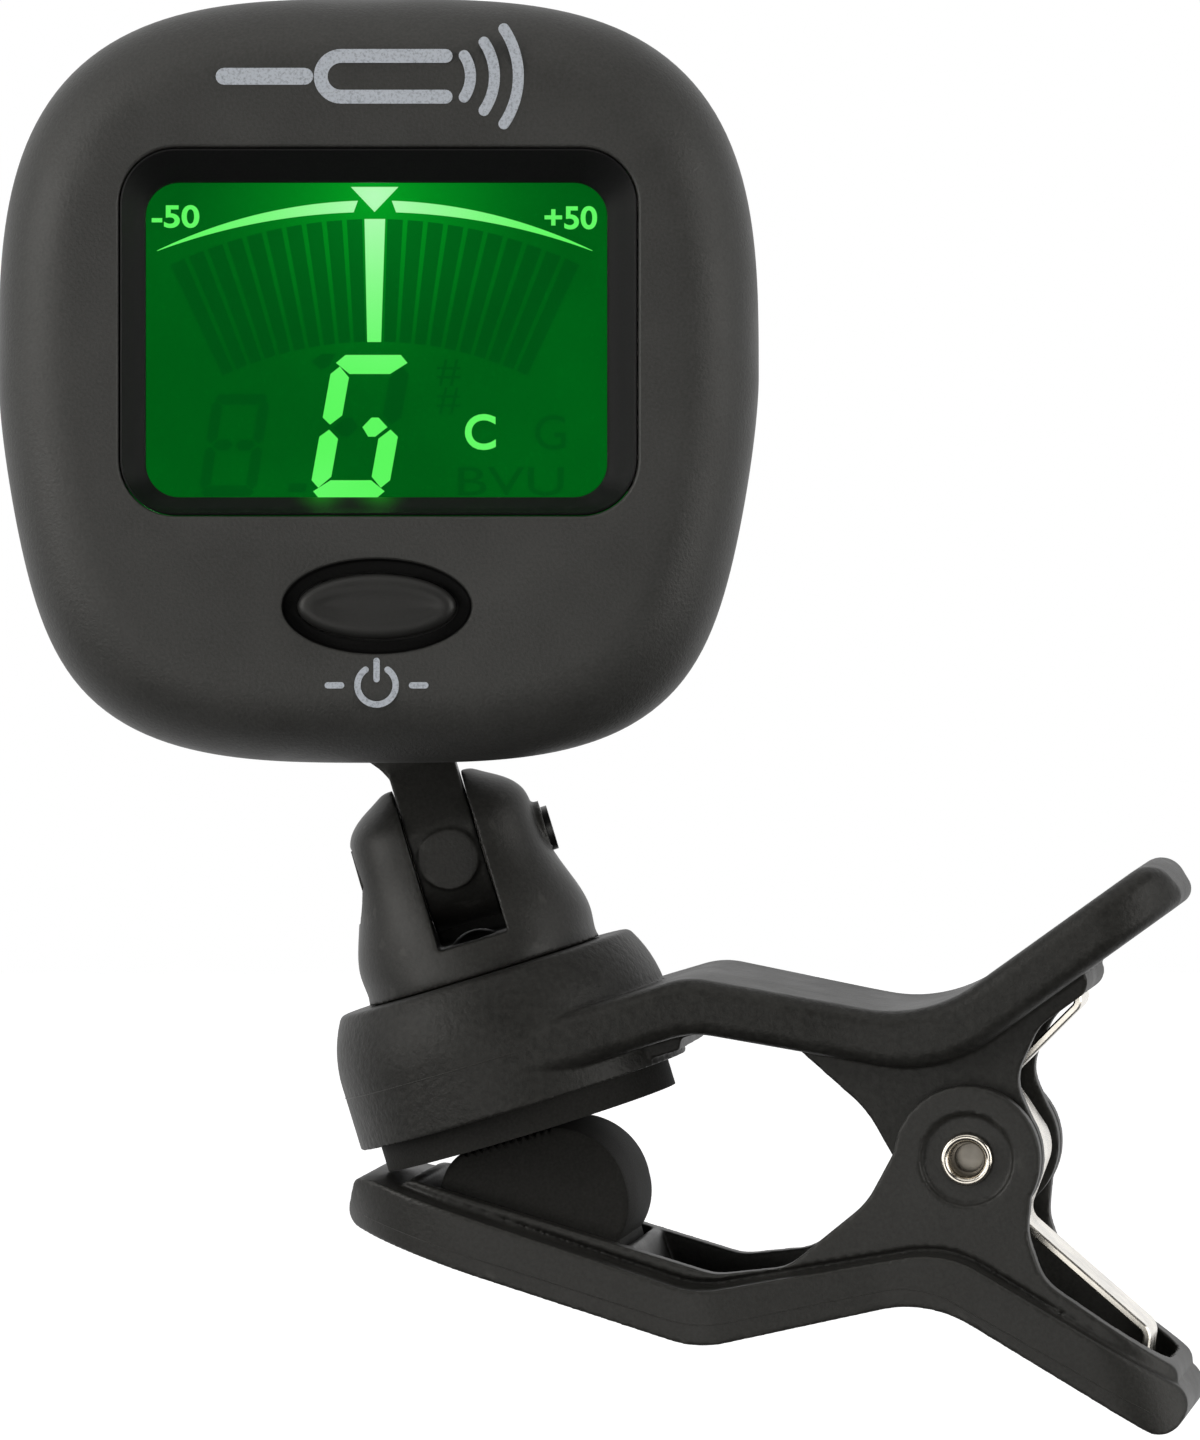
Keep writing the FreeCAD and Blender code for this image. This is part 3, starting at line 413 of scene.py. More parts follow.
def softened(name, node, voxel_mm, passes, keep, cutters=()):
    """The node's shape with moulded, slightly rounded edges; keep is the share of
    the fine mesh's triangles that stay."""
    source = frame["nodes"][node].data.copy()
    if cutters:
        source = carve(source, cutters, JAW)
    made = bpy.data.objects.new(name, source)
    bpy.context.scene.collection.objects.link(made)
    remesh = made.modifiers.new("remesh", "REMESH")
    remesh.mode = "VOXEL"
    remesh.voxel_size = voxel_mm * MM
    remesh.use_smooth_shade = True
    smooth = made.modifiers.new("smooth", "SMOOTH")
    smooth.factor = 0.5
    smooth.iterations = passes
    thin = made.modifiers.new("thin", "DECIMATE")
    thin.ratio = keep
    mesh = apply_modifiers(made)
    mesh.name = name
    bpy.data.objects.remove(made)
    for polygon in mesh.polygons:
        polygon.use_smooth = True
    return mesh


# -------------------------------------------------------------- display head
HEAD_HALF = (21.65, 21.75)
TAPER = 0.042
SQUARENESS = 3.2
SPLIT_DEPTH = 6.9
SHOULDER_INSET = 4.5
SHOULDER_DEPTH = 5.0
WALL = 1.5
RECESS = ((29.3, 20.8, 3.2), (0.1, 2.6))
WINDOW = ((26.1, 17.8, 1.9), (-0.05, 2.2))
BUTTON_CENTRE = (0.0, -12.9)
MOAT = (5.33, 2.65)
CAP = (4.475, 1.835)


def pillow_ring(inset, y, count=224):
    """One ring of the head's outline, pulled in by inset."""
    half_x = HEAD_HALF[0] - inset
    half_z = HEAD_HALF[1] - inset
    ring = []
    for index in range(count):
        angle = 2 * math.pi * index / count
        c = abs(math.cos(angle)) / half_x
        s = abs(math.sin(angle)) / half_z
        radius = (c ** SQUARENESS + s ** SQUARENESS) ** (-1 / SQUARENESS)
        x = radius * math.cos(angle)
        z = radius * math.sin(angle)
        below = max(0.0, -z / half_z)
        pinch = TAPER * math.sin(0.9 * math.pi * below) ** 1.5
        ring.append((x * (1 - pinch), y, z))
    return ring


def build_front_shell():
    """Pillow-shaped shell with its screen recess, its moat and the key's hole."""
    rings = []
    steps = 14
    for step in range(steps + 1):
        angle = math.pi / 2 * step / steps
        rings.append(pillow_ring(SHOULDER_INSET * (1 - math.sin(angle)),
                                 SHOULDER_DEPTH * (1 - math.cos(angle))))
    rings.append(pillow_ring(0.0, SPLIT_DEPTH - 0.12))
    rings.append(pillow_ring(0.12, SPLIT_DEPTH))
    rings.append(pillow_ring(WALL, SPLIT_DEPTH))
    rings.append(pillow_ring(WALL, 5.0))
    rings.append(pillow_ring(WALL + 1.5, 2.6))
    rings.append(pillow_ring(WALL + 3.8, WALL))
    mesh = mesh_from("front_shell", *loft(rings), HEAD)
    round_mouth = [(0.0, 2.5), (0.0, 0.25), (0.02, 0.14), (0.07, 0.05), (0.16, 0.0), (0.16, -1.0)]
    recess = loft([[(x, y, z) for x, z in rounded_rectangle(*RECESS, grow=grow)]
                   for grow, y in round_mouth])
    moat_profile = [(-0.25, 1.0), (-0.08, 0.92), (0.0, 0.75), (0.0, 0.28), (0.04, 0.13),
                    (0.13, 0.03), (0.25, 0.0), (0.25, -1.0)]
    moat = loft([[(x, y, z) for x, z in oval(MOAT[0] + grow, MOAT[1] + grow, BUTTON_CENTRE)]
                 for grow, y in moat_profile])
    hole = loft([[(x, y, z) for x, z in oval(CAP[0] + 0.12, CAP[1] + 0.12, BUTTON_CENTRE)]
                 for y in (2.5, 0.6)])
    mesh = carve(mesh, [recess, moat, hole], HEAD)
    smooth_by_angle(mesh, 28)
    new_piece("front_shell", mesh, SHELL, "head", ["front_housing"])
    # painted shade: faces inside the moat get the darker moat material
    mesh.materials.append(MOAT_SHADE)
    to_head = HEAD.inverted()
    for polygon in mesh.polygons:
        spot = to_head @ polygon.center
        share = math.hypot(spot.x / MOAT[0], (spot.z - BUTTON_CENTRE[1]) / MOAT[1])
        below_edge = spot.y > 0.2
        if share < 1.02 and below_edge:
            polygon.material_index = 1


def build_bezel():
    """Sloping frame between the recess and the window."""
    def ring(share, y, grow=0.0):
        size = [a + (b - a) * share for a, b in zip(RECESS[0], WINDOW[0])]
        centre = [a + (b - a) * share for a, b in zip(RECESS[1], WINDOW[1])]
        return [(x, y, z) for x, z in rounded_rectangle(size, centre, grow, 12)]
    rings = [ring(0.0, 1.8, -0.05), ring(0.0, 0.22, -0.05), ring(0.0, 0.12, -0.09),
             ring(0.0, 0.08, -0.17), ring(0.12, 0.16, -0.05), ring(0.5, 0.78), ring(0.9, 1.5),
             ring(0.97, 1.6), ring(1.0, 1.7), ring(1.0, 1.85), ring(0.6, 1.85)]
    mesh = mesh_from("bezel", *closed_loft(rings), HEAD)
    smooth_by_angle(mesh, 35)
    new_piece("display_surround", mesh, bezel_material(), "head",
              ["display_bezel"])


def bezel_material():
    """Satin bezel with a painted green reflection of the display, glowing just below the lit
    digit.
    """
    s = Shader("bezel_satin", Emission_Strength=1.0, Specular_IOR_Level=0.15)
    fine = s.noise(0.12, 2.5, 0.6)
    s.set("Base Color", s.ramp(fine, (0.35, (0.0075, 0.0075, 0.0082)),
                               (0.65, (0.0105, 0.0105, 0.0112))))
    s.set("Roughness", s.span(fine, 0.3, 0.7, 0.38, 0.48))
    s.set("Normal", s.bump(fine, 0.003))
    # painted reflection: green emission at two spots below the lit digit stands in for the
    # display's light on the bezel
    left = glow_from(s, HEAD @ Vector((-3.2, 1.9, -6.9)), 1.9)
    right = glow_from(s, HEAD @ Vector((0.1, 1.9, -6.9)), 1.9)
    painted_green_glow = s.maths("ADD", left, right)
    s.set("Emission Color", s.mix(s.maths("MINIMUM", painted_green_glow, 1.0), (0, 0, 0), (0.0, 0.16, 0.0)))
    return s.material


def build_button():
    """Oval key: rounded rim, slightly dished top."""
    rings = []
    top = [(0.0, 1.7), (0.0, 0.35), (0.03, 0.12), (0.12, -0.05), (0.27, -0.17), (0.46, -0.23),
           (0.66, -0.25), (0.85, -0.235), (1.05, -0.19), (1.25, -0.14), (1.5, -0.11)]
    for inset, y in top:
        rings.append([(x, y, z) for x, z in oval(CAP[0] - inset, CAP[1] - inset, BUTTON_CENTRE)])
    rings.append([(x, -0.10, z) for x, z in oval(1.6, 0.12, BUTTON_CENTRE)])
    foot = [[(x, y, z) for x, z in oval(1.1, 1.1, BUTTON_CENTRE, 32)] for y in (1.6, 2.85)]
    flange = [[(x, y, z) for x, z in oval(5.15, 2.5, BUTTON_CENTRE, 64)] for y in (1.62, 2.25)]
    mesh = mesh_from("power_key", *merge(loft(rings), loft(foot), loft(flange)), HEAD)
    smooth_by_angle(mesh, 40)
    new_piece("power_key", mesh, BUTTON, "button", ["power_button"])


# --------------------------------------------------------- display's graphics
FAN_CENTRE = (-0.156, -18.117)
FAN_ARC_RADIUS = 28.25
FAN_ARC_DEGREES = (1.95, 25.9)
FAN_BAR_RADII = (20.25, 27.2)
FAN_BAR_PITCH = 2.43
FAN_BAR_HALF = 0.93
MARK_FRONT = 2.42
MARK_BACK = 2.452


def fan_point(radius, degrees):
    """Place on the scale, as a radius and an angle from upright."""
    angle = math.radians(degrees)
    return (FAN_CENTRE[0] + radius * math.sin(angle), FAN_CENTRE[1] + radius * math.cos(angle))


def fan_arc(side):
    """One lit half of the scale's arc, thinning out to a point."""
    start, end = FAN_ARC_DEGREES
    steps = 24
    outer = []
    inner = []
    for step in range(steps + 1):
        angle = start + (end - start) * step / steps
        outer.append(fan_point(FAN_ARC_RADIUS, side * angle))
        thickness = 0.62 * (1 - (angle / end) ** 2) + 0.03
        shift = 0.55 * (1 - step / steps) ** 8
        inner.append(fan_point(FAN_ARC_RADIUS - thickness, side * (angle + shift)))
    return outer + inner[::-1]


def fan_bar(number):
    """One unlit bar of the scale; the middle's number is 0."""
    low, high = FAN_BAR_RADII
    start = FAN_BAR_PITCH * number - FAN_BAR_HALF
    end = FAN_BAR_PITCH * number + FAN_BAR_HALF
    return [fan_point(low, start), fan_point(low, end), fan_point(high, end),
            fan_point(high, start)]


def seven_segments(centre, width, height, thickness, slant, gap):
    """Outlines of a slanted digit: top, upper left and right, the middle's two
    halves, lower left and right, bottom."""
    half_x = width / 2
    half_z = height / 2
    t = thickness
    corner = 0.42 * t

    def lean(points):
        return [(centre[0] + u + slant * v, centre[1] + v) for u, v in points]

    top = [(-half_x + gap, half_z - corner), (-half_x + gap + corner, half_z),
           (half_x - gap - corner, half_z), (half_x - gap, half_z - corner),
           (half_x - t, half_z - t), (-half_x + t, half_z - t)]
    upper = [(-half_x + corner, half_z - corner - gap), (-half_x + t, half_z - t - gap),
             (-half_x + t, t * 0.5 + gap * 0.6), (-half_x + t * 0.45, gap * 0.7),
             (-half_x, t * 0.5), (-half_x, half_z - t)]
    half_bar = [(gap * 0.6, 0.0), (t * 0.5, t * 0.5), (half_x - t - gap, t * 0.5),
                (half_x - t * 0.45 - gap, 0.0), (half_x - t - gap, -t * 0.5), (t * 0.5, -t * 0.5)]

    def flip(points, sx, sz):
        return [(sx * u, sz * v) for u, v in points]

    return {"top": lean(top), "bottom": lean(flip(top, 1, -1)),
            "upper_left": lean(upper), "upper_right": lean(flip(upper, -1, 1)),
            "lower_left": lean(flip(upper, 1, -1)), "lower_right": lean(flip(upper, -1, -1)),
            "middle_right": lean(half_bar), "middle_left": lean(flip(half_bar, -1, 1))}


def lettering(text, low, high, weight, y0, y1):
    """Plain characters fitted to a box, low and high being its (x, z) corners."""
    curve = bpy.data.curves.new("characters", "FONT")
    curve.body = text
    curve.offset = weight
    curve.resolution_u = 6
    source = bpy.data.objects.new("characters", curve)
    bpy.context.scene.collection.objects.link(source)
    bpy.context.view_layer.update()
    mesh = bpy.data.meshes.new_from_object(
        source.evaluated_get(bpy.context.evaluated_depsgraph_get()))
    bpy.data.objects.remove(source)
    points = [vertex.co.copy() for vertex in mesh.vertices]
    xs = [p.x for p in points]
    ys = [p.y for p in points]
    scale_x = (high[0] - low[0]) / (max(xs) - min(xs))
    scale_z = (high[1] - low[1]) / (max(ys) - min(ys))
    flat = [(low[0] + (p.x - min(xs)) * scale_x, low[1] + (p.y - min(ys)) * scale_z)
            for p in points]
    made = bmesh.new()
    made.from_mesh(mesh)
    made.verts.ensure_lookup_table()
    front = [tuple(vertex.index for vertex in face.verts) for face in made.faces]
    border = [tuple(vertex.index for vertex in edge.verts) for edge in made.edges
              if len(edge.link_faces) == 1]
    made.free()
    count = len(flat)
    vertices = [(x, y0, z) for x, z in flat] + [(x, y1, z) for x, z in flat]
    faces = front + [tuple(index + count for index in face[::-1]) for face in front]
    faces += [(a, b, b + count, a + count) for a, b in border]
    return vertices, faces


def build_display_marks():
    """Lit and unlit segments, standing just in front of the display's glass."""
    def plate(outline):
        return prism(outline, MARK_FRONT, MARK_BACK)

    def letters(text, low, high, weight):
        return lettering(text, low, high, weight, MARK_FRONT, MARK_BACK)

    digit = seven_segments((-0.98, -2.71), 4.45, 8.18, 1.08, 0.178, 0.20)
    lit = [plate(fan_arc(side)) for side in (-1, 1)]
    lit.append(plate([(-0.587, 2.113), (0.200, 2.113), (0.428, 9.083), (-0.740, 9.083)]))
    lit.append(plate([(-0.173, 9.48), (1.18, 10.90), (-1.516, 10.90)]))
    lit += [plate(digit[name]) for name in
            ("top", "upper_left", "lower_left", "bottom", "lower_right", "middle_right")]
    lit.append(letters("C", (4.944, -4.007), (6.70, -1.967), 0.02))
    lit.append(letters("-50", (-12.80, 8.573), (-10.10, 9.876), 0.022))
    lit.append(letters("+50", (9.46, 8.49), (12.44, 9.82), 0.022))
    dim = [plate(fan_bar(side * number)) for side in (-1, 1) for number in range(1, 11)]
    dim += [plate(digit[name]) for name in ("upper_right", "middle_left")]
    ghost = seven_segments((-8.12, -3.73), 3.25, 5.8, 0.62, 0.15, 0.10)
    dim += [plate(outline) for outline in ghost.values()]
    dim.append(letters("G", (8.91, -4.007), (10.67, -2.02), 0.004))
    dim.append(letters("BVU", (4.55, -6.60), (10.55, -4.97), 0.004))
    dim += [letters("#", (3.35, low), (4.70, low + 1.5), 0.0) for low in (-1.98, -0.38)]
    dim.append(plate([(-5.1, -6.4), (-4.1, -6.4), (-4.0, -5.9), (-5.0, -5.9)]))
    dim.append(plate([(-3.75, 1.0), (-3.2, 1.44), (-2.35, 1.44), (-2.75, 0.75), (-3.2, 0.5)]))
    for name, parts, material in (("display_lit_marks", lit, LCD_LIT),
                                  ("display_dim_marks", dim, LCD_DIM)):
        mesh = mesh_from(name, *merge(*parts), HEAD, smooth=False)
        new_piece(name, mesh, material, "head")


# --------------------------------------------------------------- printed marks
def stroke(points, width):
    """Outline of a line of even width with round ends, through (x, z) points."""
    left = []
    right = []
    for index, here in enumerate(points):
        before = points[max(0, index - 1)]
        after = points[min(len(points) - 1, index + 1)]
        along = Vector((after[0] - before[0], after[1] - before[1])).normalized()
        normal = Vector((-along.y, along.x)) * (width / 2)
        left.append((here[0] + normal.x, here[1] + normal.y))
        right.append((here[0] - normal.x, here[1] - normal.y))

    def cap(centre, start):
        ring = []
        for step in range(1, 8):
            turn = Matrix.Rotation(-math.pi * step / 8, 2)
            ring.append(tuple(Vector(centre) + turn @ (Vector(start) - Vector(centre))))
        return ring

    return left + cap(points[-1], left[-1]) + right[::-1] + cap(points[0], right[0])


def arc(centre, radius, start, end, count=28):
    """(x, z) points of an arc, from a start to an end angle in degrees."""
    return [(centre[0] + radius * math.cos(math.radians(start + (end - start) * i / count)),
             centre[1] + radius * math.sin(math.radians(start + (end - start) * i / count)))
            for i in range(count + 1)]


def build_printed_marks():
    """A tuning fork that sounds, above the screen, and a power sign below the key."""
    fork_z = 17.0
    prong = 1.15
    bend = arc((-2.0, fork_z), prong, 270, 90, 20)
    fork = [(3.9, fork_z - prong)] + bend + [(3.9, fork_z + prong)]
    lines = [(fork, 0.78), ([(-4.05, fork_z), (-8.6, fork_z)], 0.95)]
    for number in range(3):
        radius = 2.1 + 1.35 * number
        lines.append((arc((3.2, fork_z), radius, -34, 34, 16), 0.62))
    power = (0.0, -17.35)
    lines.append((arc(power, 1.08, 125, 415, 40), 0.36))
    lines.append(([(power[0], power[1] + 0.35), (power[0], power[1] + 1.38)], 0.36))
    for side in (-1, 1):
        lines.append(([(side * 2.0, power[1]), (side * 2.75, power[1])], 0.36))
    parts = [prism(stroke(points, width), -0.025, 0.02) for points, width in lines]
    mesh = mesh_from("printed_marks", *merge(*parts), HEAD, smooth=False)
    new_piece("printed_marks", mesh, print_material(), "head")


# ------------------------------------------------------------------- the clip
pin_spot = JAW.inverted() @ Vector(joints["jaw_hinge"]["pos_m"])
EAR_FACE = 6.2
RECESS_DEPTH = 0.3
FLANGE_GAP = 0.05
BOSS_RADIUS = 9.85
BOSS_SEAM_HEIGHT = 4.75
SEAM_BEAD_RADIUS = 0.035
ARM_BEAD_RADIUS = 0.03
PLUG_RADIUS = 0.86
GROOVE_HALF_HEIGHT = 0.2
GROOVE_DEPTH = 0.42
PAD_HALF_WIDTH = 4.5


def lathe(profile, count=72):
    """Solid of revolution about the clip's pin, from (radius, y) points that start
    and end on the axis."""
    rings = [[(pin_spot.x + radius * math.cos(2 * math.pi * index / count), y,
               pin_spot.z + radius * math.sin(2 * math.pi * index / count))
              for index in range(count)] for radius, y in profile]
    return loft(rings)


def build_rivet():
    """Hollow rivet: rolled flange, tapering mouth and a plug sunk in the bore."""
    inner = EAR_FACE - RECESS_DEPTH + FLANGE_GAP
    half = [(0.05, -1.27), (0.45, -1.24), (0.78, -1.3), (0.84, -0.9),
            (0.92, -0.2), (1.02, 0.15), (1.12, 0.32), (1.22, 0.39), (1.34, 0.40),
            (1.44, 0.34), (1.50, 0.22), (1.49, 0.08), (1.42, 0.0), (1.25, 0.0)]
    front = [(radius, -(inner + out)) for radius, out in half]
    back = [(radius, inner + out) for radius, out in half[::-1]]
    mesh = mesh_from("hollow_rivet", *lathe(front + back), JAW)
    smooth_by_angle(mesh, 50)
    new_piece("hollow_rivet", mesh, NICKEL, "clip_upper", ["pivot_rivet", "rivet_core"])
    mesh.materials.append(TARNISHED)
    to_jaw = JAW.inverted()
    for polygon in mesh.polygons:
        spot = to_jaw @ polygon.center
        if math.hypot(spot.x - pin_spot.x, spot.z - pin_spot.z) < PLUG_RADIUS:
            polygon.material_index = 1


SPRING_ROUTE = [(30.0, -23.9, 0), (31.15, -21.2, 0.8), (25.9, -12.9, 1.2), (28.6, -9.4, 2.2),
                (27.3, -5.1, 1.2), (32.9, -2.1, 0.6), (33.0, -0.05, 0)]
SPRING_HALF_WIDTH = 2.1
SPRING_THICKNESS = 0.45
NOTCH_HALF_WIDTH = 0.6


def rounded_route(points, steps=8):
    """Open (x, z) line whose corners are arcs; each point is (x, z, radius)."""
    line = []
    for index, (x, z, radius) in enumerate(points):
        here = Vector((x, z))
        if radius == 0:
            line.append(here)
            continue
        to_before = (Vector(points[index - 1][:2]) - here).normalized()
        to_after = (Vector(points[index + 1][:2]) - here).normalized()
        half = to_before.angle(to_after) / 2
        centre = here + (to_before + to_after).normalized() * (radius / math.sin(half))
        start = here + to_before * (radius / math.tan(half)) - centre
        end = here + to_after * (radius / math.tan(half)) - centre
        turn = start.angle_signed(end)
        for step in range(steps + 1):
            line.append(centre + Matrix.Rotation(-turn * step / steps, 2) @ start)
    return line


def build_spring():
    """One bent strip with broken edges and a notch in its lower end."""
    line = rounded_route(SPRING_ROUTE)
    half = SPRING_THICKNESS / 2
    edge = 0.1
    section = [(-SPRING_HALF_WIDTH, half - edge), (-SPRING_HALF_WIDTH + edge, half),
               (SPRING_HALF_WIDTH - edge, half), (SPRING_HALF_WIDTH, half - edge),
               (SPRING_HALF_WIDTH, edge - half), (SPRING_HALF_WIDTH - edge, -half),
               (-SPRING_HALF_WIDTH + edge, -half), (-SPRING_HALF_WIDTH, edge - half)]
    rings = []
    for index, here in enumerate(line):
        before = line[max(0, index - 1)]
        after = line[min(len(line) - 1, index + 1)]
        along = (after - before).normalized()
        normal = Vector((-along.y, along.x))
        rings.append([(here.x + normal.x * off, y, here.y + normal.y * off)
                      for y, off in section])
    mesh = mesh_from("spring_strip", *loft(rings), JAW)
    notch = loft([[(x, y, z) for x, y in ((28.5, -NOTCH_HALF_WIDTH), (33.5, -NOTCH_HALF_WIDTH),
                                          (33.5, NOTCH_HALF_WIDTH), (28.5, NOTCH_HALF_WIDTH))]
                  for z in (-26.0, -22.9)])
    mesh = carve(mesh, [notch], JAW)
    smooth_by_angle(mesh, 28)
    made = new_piece("spring_strip", mesh, SPRING, None, ["clip_spring"])
    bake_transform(made)


def wall_groove(side):
    """Closed shape that cuts a groove along the foot of one of the lower jaw's walls."""
    line = rounded_route([(-8.2, -0.05, 0), (7.75, -11.2, 6.0), (22.15, -12.95, 6.0),
                          (30.9, -22.45, 0)], 10)
    rings = []
    for index, here in enumerate(line):
        before = line[max(0, index - 1)]
        after = line[min(len(line) - 1, index + 1)]
        along = (after - before).normalized()
        normal = Vector((-along.y, along.x))
        half = 0.05 if index in (0, len(line) - 1) else GROOVE_HALF_HEIGHT
        rings.append([(here.x + normal.x * off, side * (EAR_FACE + out), here.y + normal.y * off)
                      for out, off in ((0.5, -half), (0.5, half), (-0.1, half),
                                       (-GROOVE_DEPTH, half * 0.6),
                                       (-GROOVE_DEPTH, -half * 0.6), (-0.1, -half))])
    return loft(rings)


def build_lower_pad():
    """Rubber hump with softened edges and fine grip ridges across its crown."""
    def bow(start, through, end, count):
        """Points on the circle through three (x, z) places, without the last."""
        a, b, c = Vector(start), Vector(through), Vector(end)
        twice = 2 * (a.x * (b.y - c.y) + b.x * (c.y - a.y) + c.x * (a.y - b.y))
        centre = Vector((
            (a.length_squared * (b.y - c.y) + b.length_squared * (c.y - a.y)
             + c.length_squared * (a.y - b.y)) / twice,
            (a.length_squared * (c.x - b.x) + b.length_squared * (a.x - c.x)
             + c.length_squared * (b.x - a.x)) / twice))
        turn = (a - centre).angle_signed(c - centre)
        return [tuple(centre + Matrix.Rotation(-turn * i / count, 2) @ (a - centre))
                for i in range(count)]

    crown_start, crown_end, crown_z = -3.7, 1.9, -0.15
    outline = bow((-5.5, -2.2), (-4.85, -0.9), (crown_start, crown_z), 14)
    ridges = 12
    crown_length = crown_end - crown_start
    pitch = crown_length / ridges
    for ridge in range(ridges):
        start = crown_start + crown_length * ridge / ridges
        outline += [(start, crown_z), (start + 0.30 * pitch, -0.16),
                    (start + 0.50 * pitch, -0.29), (start + 0.72 * pitch, -0.29)]
    outline += bow((crown_end, crown_z), (4.35, -1.8), (5.1, -4.7), 26)
    outline += bow((5.1, -4.7), (4.72, -6.25), (3.75, -7.5), 12)
    outline += [(3.75, -7.5), (3.55, -10.4), (-5.5, -4.25)]
    centre = Vector((0.6, -4.6))
    rings = []
    half = PAD_HALF_WIDTH
    for y, inset in ((-half, 0.42), (-half + 0.04, 0.22), (-half + 0.16, 0.07), (-half + 0.4, 0.0),
                     (half - 0.4, 0.0), (half - 0.16, 0.07), (half - 0.04, 0.22), (half, 0.42)):
        ring = []
        for x, z in outline:
            inward = (centre - Vector((x, z))).normalized() * inset
            ring.append((x + inward.x, y, z + inward.y))
        rings.append(ring)
    mesh = mesh_from("grip_hump", *loft(rings), JAW)
    smooth_by_angle(mesh, 30)
    new_piece("grip_hump", mesh, RUBBER, "clip_lower", ["lower_pad"])


def tube(line, radius, sides=6):
    """Thin bead along a line of points."""
    rings = []
    for index, here in enumerate(line):
        before = line[max(0, index - 1)]
        after = line[min(len(line) - 1, index + 1)]
        along = (after - before).normalized()
        side = along.cross(Vector((0, 1, 0.3))).normalized()
        over = along.cross(side)
        taper = 0.25 if index in (0, len(line) - 1) else 1.0
        rings.append([tuple(here + (side * math.cos(2 * math.pi * k / sides)
                                    + over * math.sin(2 * math.pi * k / sides)) * radius * taper)
                      for k in range(sides)])
    return loft(rings)


def build_mould_lines():
    """Hairline beads where the moulds met: round the boss and along the lower arm."""
    boss = []
    for step in range(41):
        angle = math.radians(178 + 108 * step / 40)
        boss.append(Vector((BOSS_RADIUS * math.cos(angle), BOSS_RADIUS * math.sin(angle),
                            BOSS_SEAM_HEIGHT)))
    mesh = mesh_from("boss_mould_line", *tube(boss, SEAM_BEAD_RADIUS), JAW)
    new_piece("boss_mould_line", mesh, CLIP, "clip_upper")

    target = mouldings["lower_jaw"].data
    tree = BVHTree.FromPolygons([vertex.co for vertex in target.vertices],
                                [tuple(polygon.vertices) for polygon in target.polygons])
    toward = (JAW.to_3x3() @ Vector((0, 1, 0))).normalized()
    to_jaw = JAW.inverted()
    route = rounded_route([(-11.0, -1.2, 0), (7.2, -13.35, 6.5), (20.1, -14.55, 6.0),
                           (31.3, -26.1, 0)], 14)
    line = []
    for start, end in zip(route, route[1:]):
        count = max(1, round((end - start).length / 0.8))
        for step in range(count):
            here = start.lerp(end, step / count)
            hit = tree.ray_cast(JAW @ Vector((here.x, -12.0, here.y)), toward)[0]
            if hit is not None:
                line.append(to_jaw @ hit)
    mesh = mesh_from("arm_mould_line", *tube(line, ARM_BEAD_RADIUS), JAW)
    new_piece("arm_mould_line", mesh, CLIP, "clip_lower")


# ------------------------------------------------------------ carried-over CAD
def dress(names, material):
    """Give a material to nodes that are shown as designed."""
    for name in names.split():
        mesh = frame["nodes"][name].data
        mesh.materials.clear()
        mesh.materials.append(material)


dress("rear_housing battery_door", SHELL)
dress("display_lens", lens_material())
dress("lcd_glass", LCD)
dress("lcd_frame backlight_panel", WHITE)
dress("zebra_connector", ELASTOMER)
dress("circuit_board", BOARD)
dress("controller_chip tact_switch swivel_screw", EPOXY)
dress("housing_screws pivot_screw pivot_washer hinge_nut", ZINC)
dress("hinge_screw", DARK_ZINC)
dress("coin_cell", NICKEL)
dress("positive_contact negative_contact", SPRING)
dress("piezo_sensor", BRASS)
dress("hinge_washers swivel_washer", NYLON)
dress("upper_pad", RUBBER)

build_front_shell()
build_bezel()
build_button()
build_display_marks()
build_printed_marks()

mouldings = {}
for piece, node, body, material, voxel, passes, keep in (
        ("upper_jaw_moulding", "upper_jaw", "clip_upper", GRAINED, 0.115, 2, 0.3),
        ("lower_jaw_moulding", "lower_jaw", "clip_lower", CLIP, 0.13, 4, 0.35),
        ("fork_moulding", "swivel_yoke", "yoke", CLIP, 0.11, 4, 0.35),
        ("stem_moulding", "pivot_stem", "stem", CLIP, 0.11, 3, 0.35)):
    grooves = [wall_groove(-1), wall_groove(1)] if node == "lower_jaw" else []
    mesh = softened(piece, node, voxel, passes, keep, grooves)
    mouldings[node] = new_piece(piece, mesh, material, body, [node])
build_rivet()
build_spring()
build_lower_pad()
build_mould_lines()


# ------------------------------------------------------------- floor and light
OPENED_JAW_ROOM = 0.045
LIGHT_COLOUR = (1.0, 0.985, 0.945)


def build_stage():
    """Pale paper floor, low enough for the opened lower jaw."""
    lowest = cad_low.z - OPENED_JAW_ROOM
    corners = [(x, y, lowest) for x, y in ((-2.5, -0.09), (2.5, -0.09), (2.5, 2.5), (-2.5, 2.5))]
    mesh = mesh_from("floor", corners, [(0, 1, 2, 3)], Matrix.Identity(4), smooth=False)
    floor = bpy.data.objects.new("floor", mesh)
    bpy.context.scene.collection.objects.link(floor)
    s = Shader("floor_paper", Roughness=0.9, Emission_Strength=0.75,
               Emission_Color=(1.0, 1.0, 1.0, 1.0))
    s.set("Base Color", s.ramp(s.noise(40.0), (0.3, (0.86, 0.86, 0.86)), (0.7, (0.9, 0.9, 0.9))))
    mesh.materials.append(s.material)
    floor.visible_diffuse = False
    floor.visible_glossy = False
    floor.visible_shadow = False


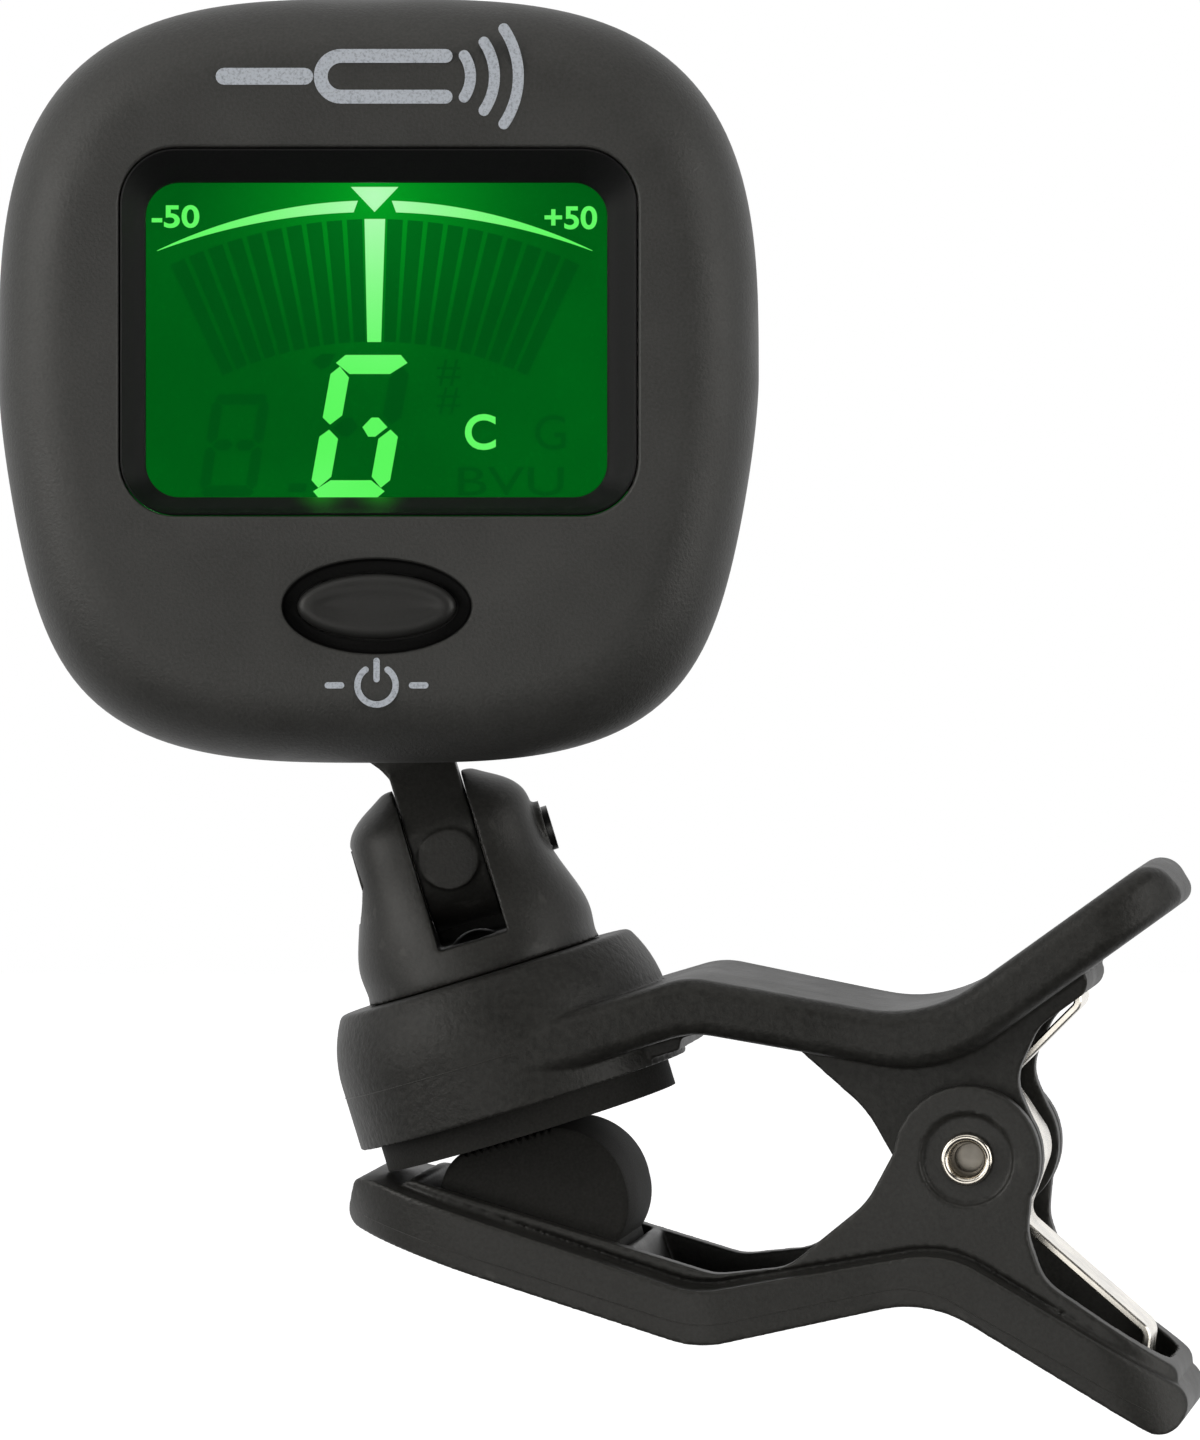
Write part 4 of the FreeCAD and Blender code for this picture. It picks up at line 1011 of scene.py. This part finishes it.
def build_world():
    """Pale all round to the eye; as a light it is bright behind and dim in front."""
    world = bpy.data.worlds.new("studio")
    bpy.context.scene.world = world
    world.use_nodes = True
    tree = world.node_tree
    background = tree.nodes["Background"]
    background.inputs["Color"].default_value = (1.0, 1.0, 1.0, 1.0)
    direction = tree.nodes.new("ShaderNodeTexCoord").outputs["Generated"]
    split = tree.nodes.new("ShaderNodeSeparateXYZ")
    tree.links.new(direction, split.inputs[0])
    ramp = tree.nodes.new("ShaderNodeMapRange")
    ramp.interpolation_type = "SMOOTHSTEP"
    tree.links.new(split.outputs["Y"], ramp.inputs["Value"])
    for socket, value in (("From Min", -0.25), ("From Max", 0.70),
                          ("To Min", 0.02), ("To Max", 1.0)):
        ramp.inputs[socket].default_value = value
    rays = tree.nodes.new("ShaderNodeLightPath")
    choose = tree.nodes.new("ShaderNodeMix")
    tree.links.new(rays.outputs["Is Camera Ray"], choose.inputs[0])
    tree.links.new(ramp.outputs[0], choose.inputs[2])
    choose.inputs[3].default_value = 1.0
    tree.links.new(choose.outputs[0], background.inputs["Strength"])


def area_light(name, place, target, size, power):
    """Softbox that faces its target."""
    light = bpy.data.lights.new(name, "AREA")
    light.shape = "RECTANGLE"
    light.size, light.size_y = size
    light.energy = power
    light.color = LIGHT_COLOUR
    made = bpy.data.objects.new(name, light)
    bpy.context.scene.collection.objects.link(made)
    made.location = place
    made.rotation_mode = "QUATERNION"
    made.rotation_quaternion = (Vector(target) - Vector(place)).to_track_quat("-Z", "Y")


def build_camera():
    """Level with the tuner's middle, half a metre in front, long lens."""
    data = bpy.data.cameras.new("camera")
    data.sensor_width = 36.0
    data.lens = 224.1
    data.clip_start = 0.01
    data.clip_end = 20.0
    camera = bpy.data.objects.new("camera", data)
    bpy.context.scene.collection.objects.link(camera)
    camera.location = (0.00394, -0.520, 0.0236)
    camera.rotation_euler = (math.pi / 2, 0, 0)
    bpy.context.scene.camera = camera


build_stage()
build_world()
build_camera()
area_light("top_soft", (-0.05, -0.18, 0.42), (0, 0, 0.02), (0.5, 0.4), 0.57)
area_light("left_soft", (-0.42, -0.22, 0.12), (0, 0, 0.02), (0.3, 0.4), 1.3)
area_light("right_soft", (0.42, -0.22, 0.08), (0, 0, 0.02), (0.3, 0.4), 1.05)
area_light("low_fill", (-0.13, -0.45, -0.09), (0.02, 0, 0), (0.32, 0.28), 0.45)
bpy.context.scene.view_settings.view_transform = "Standard"
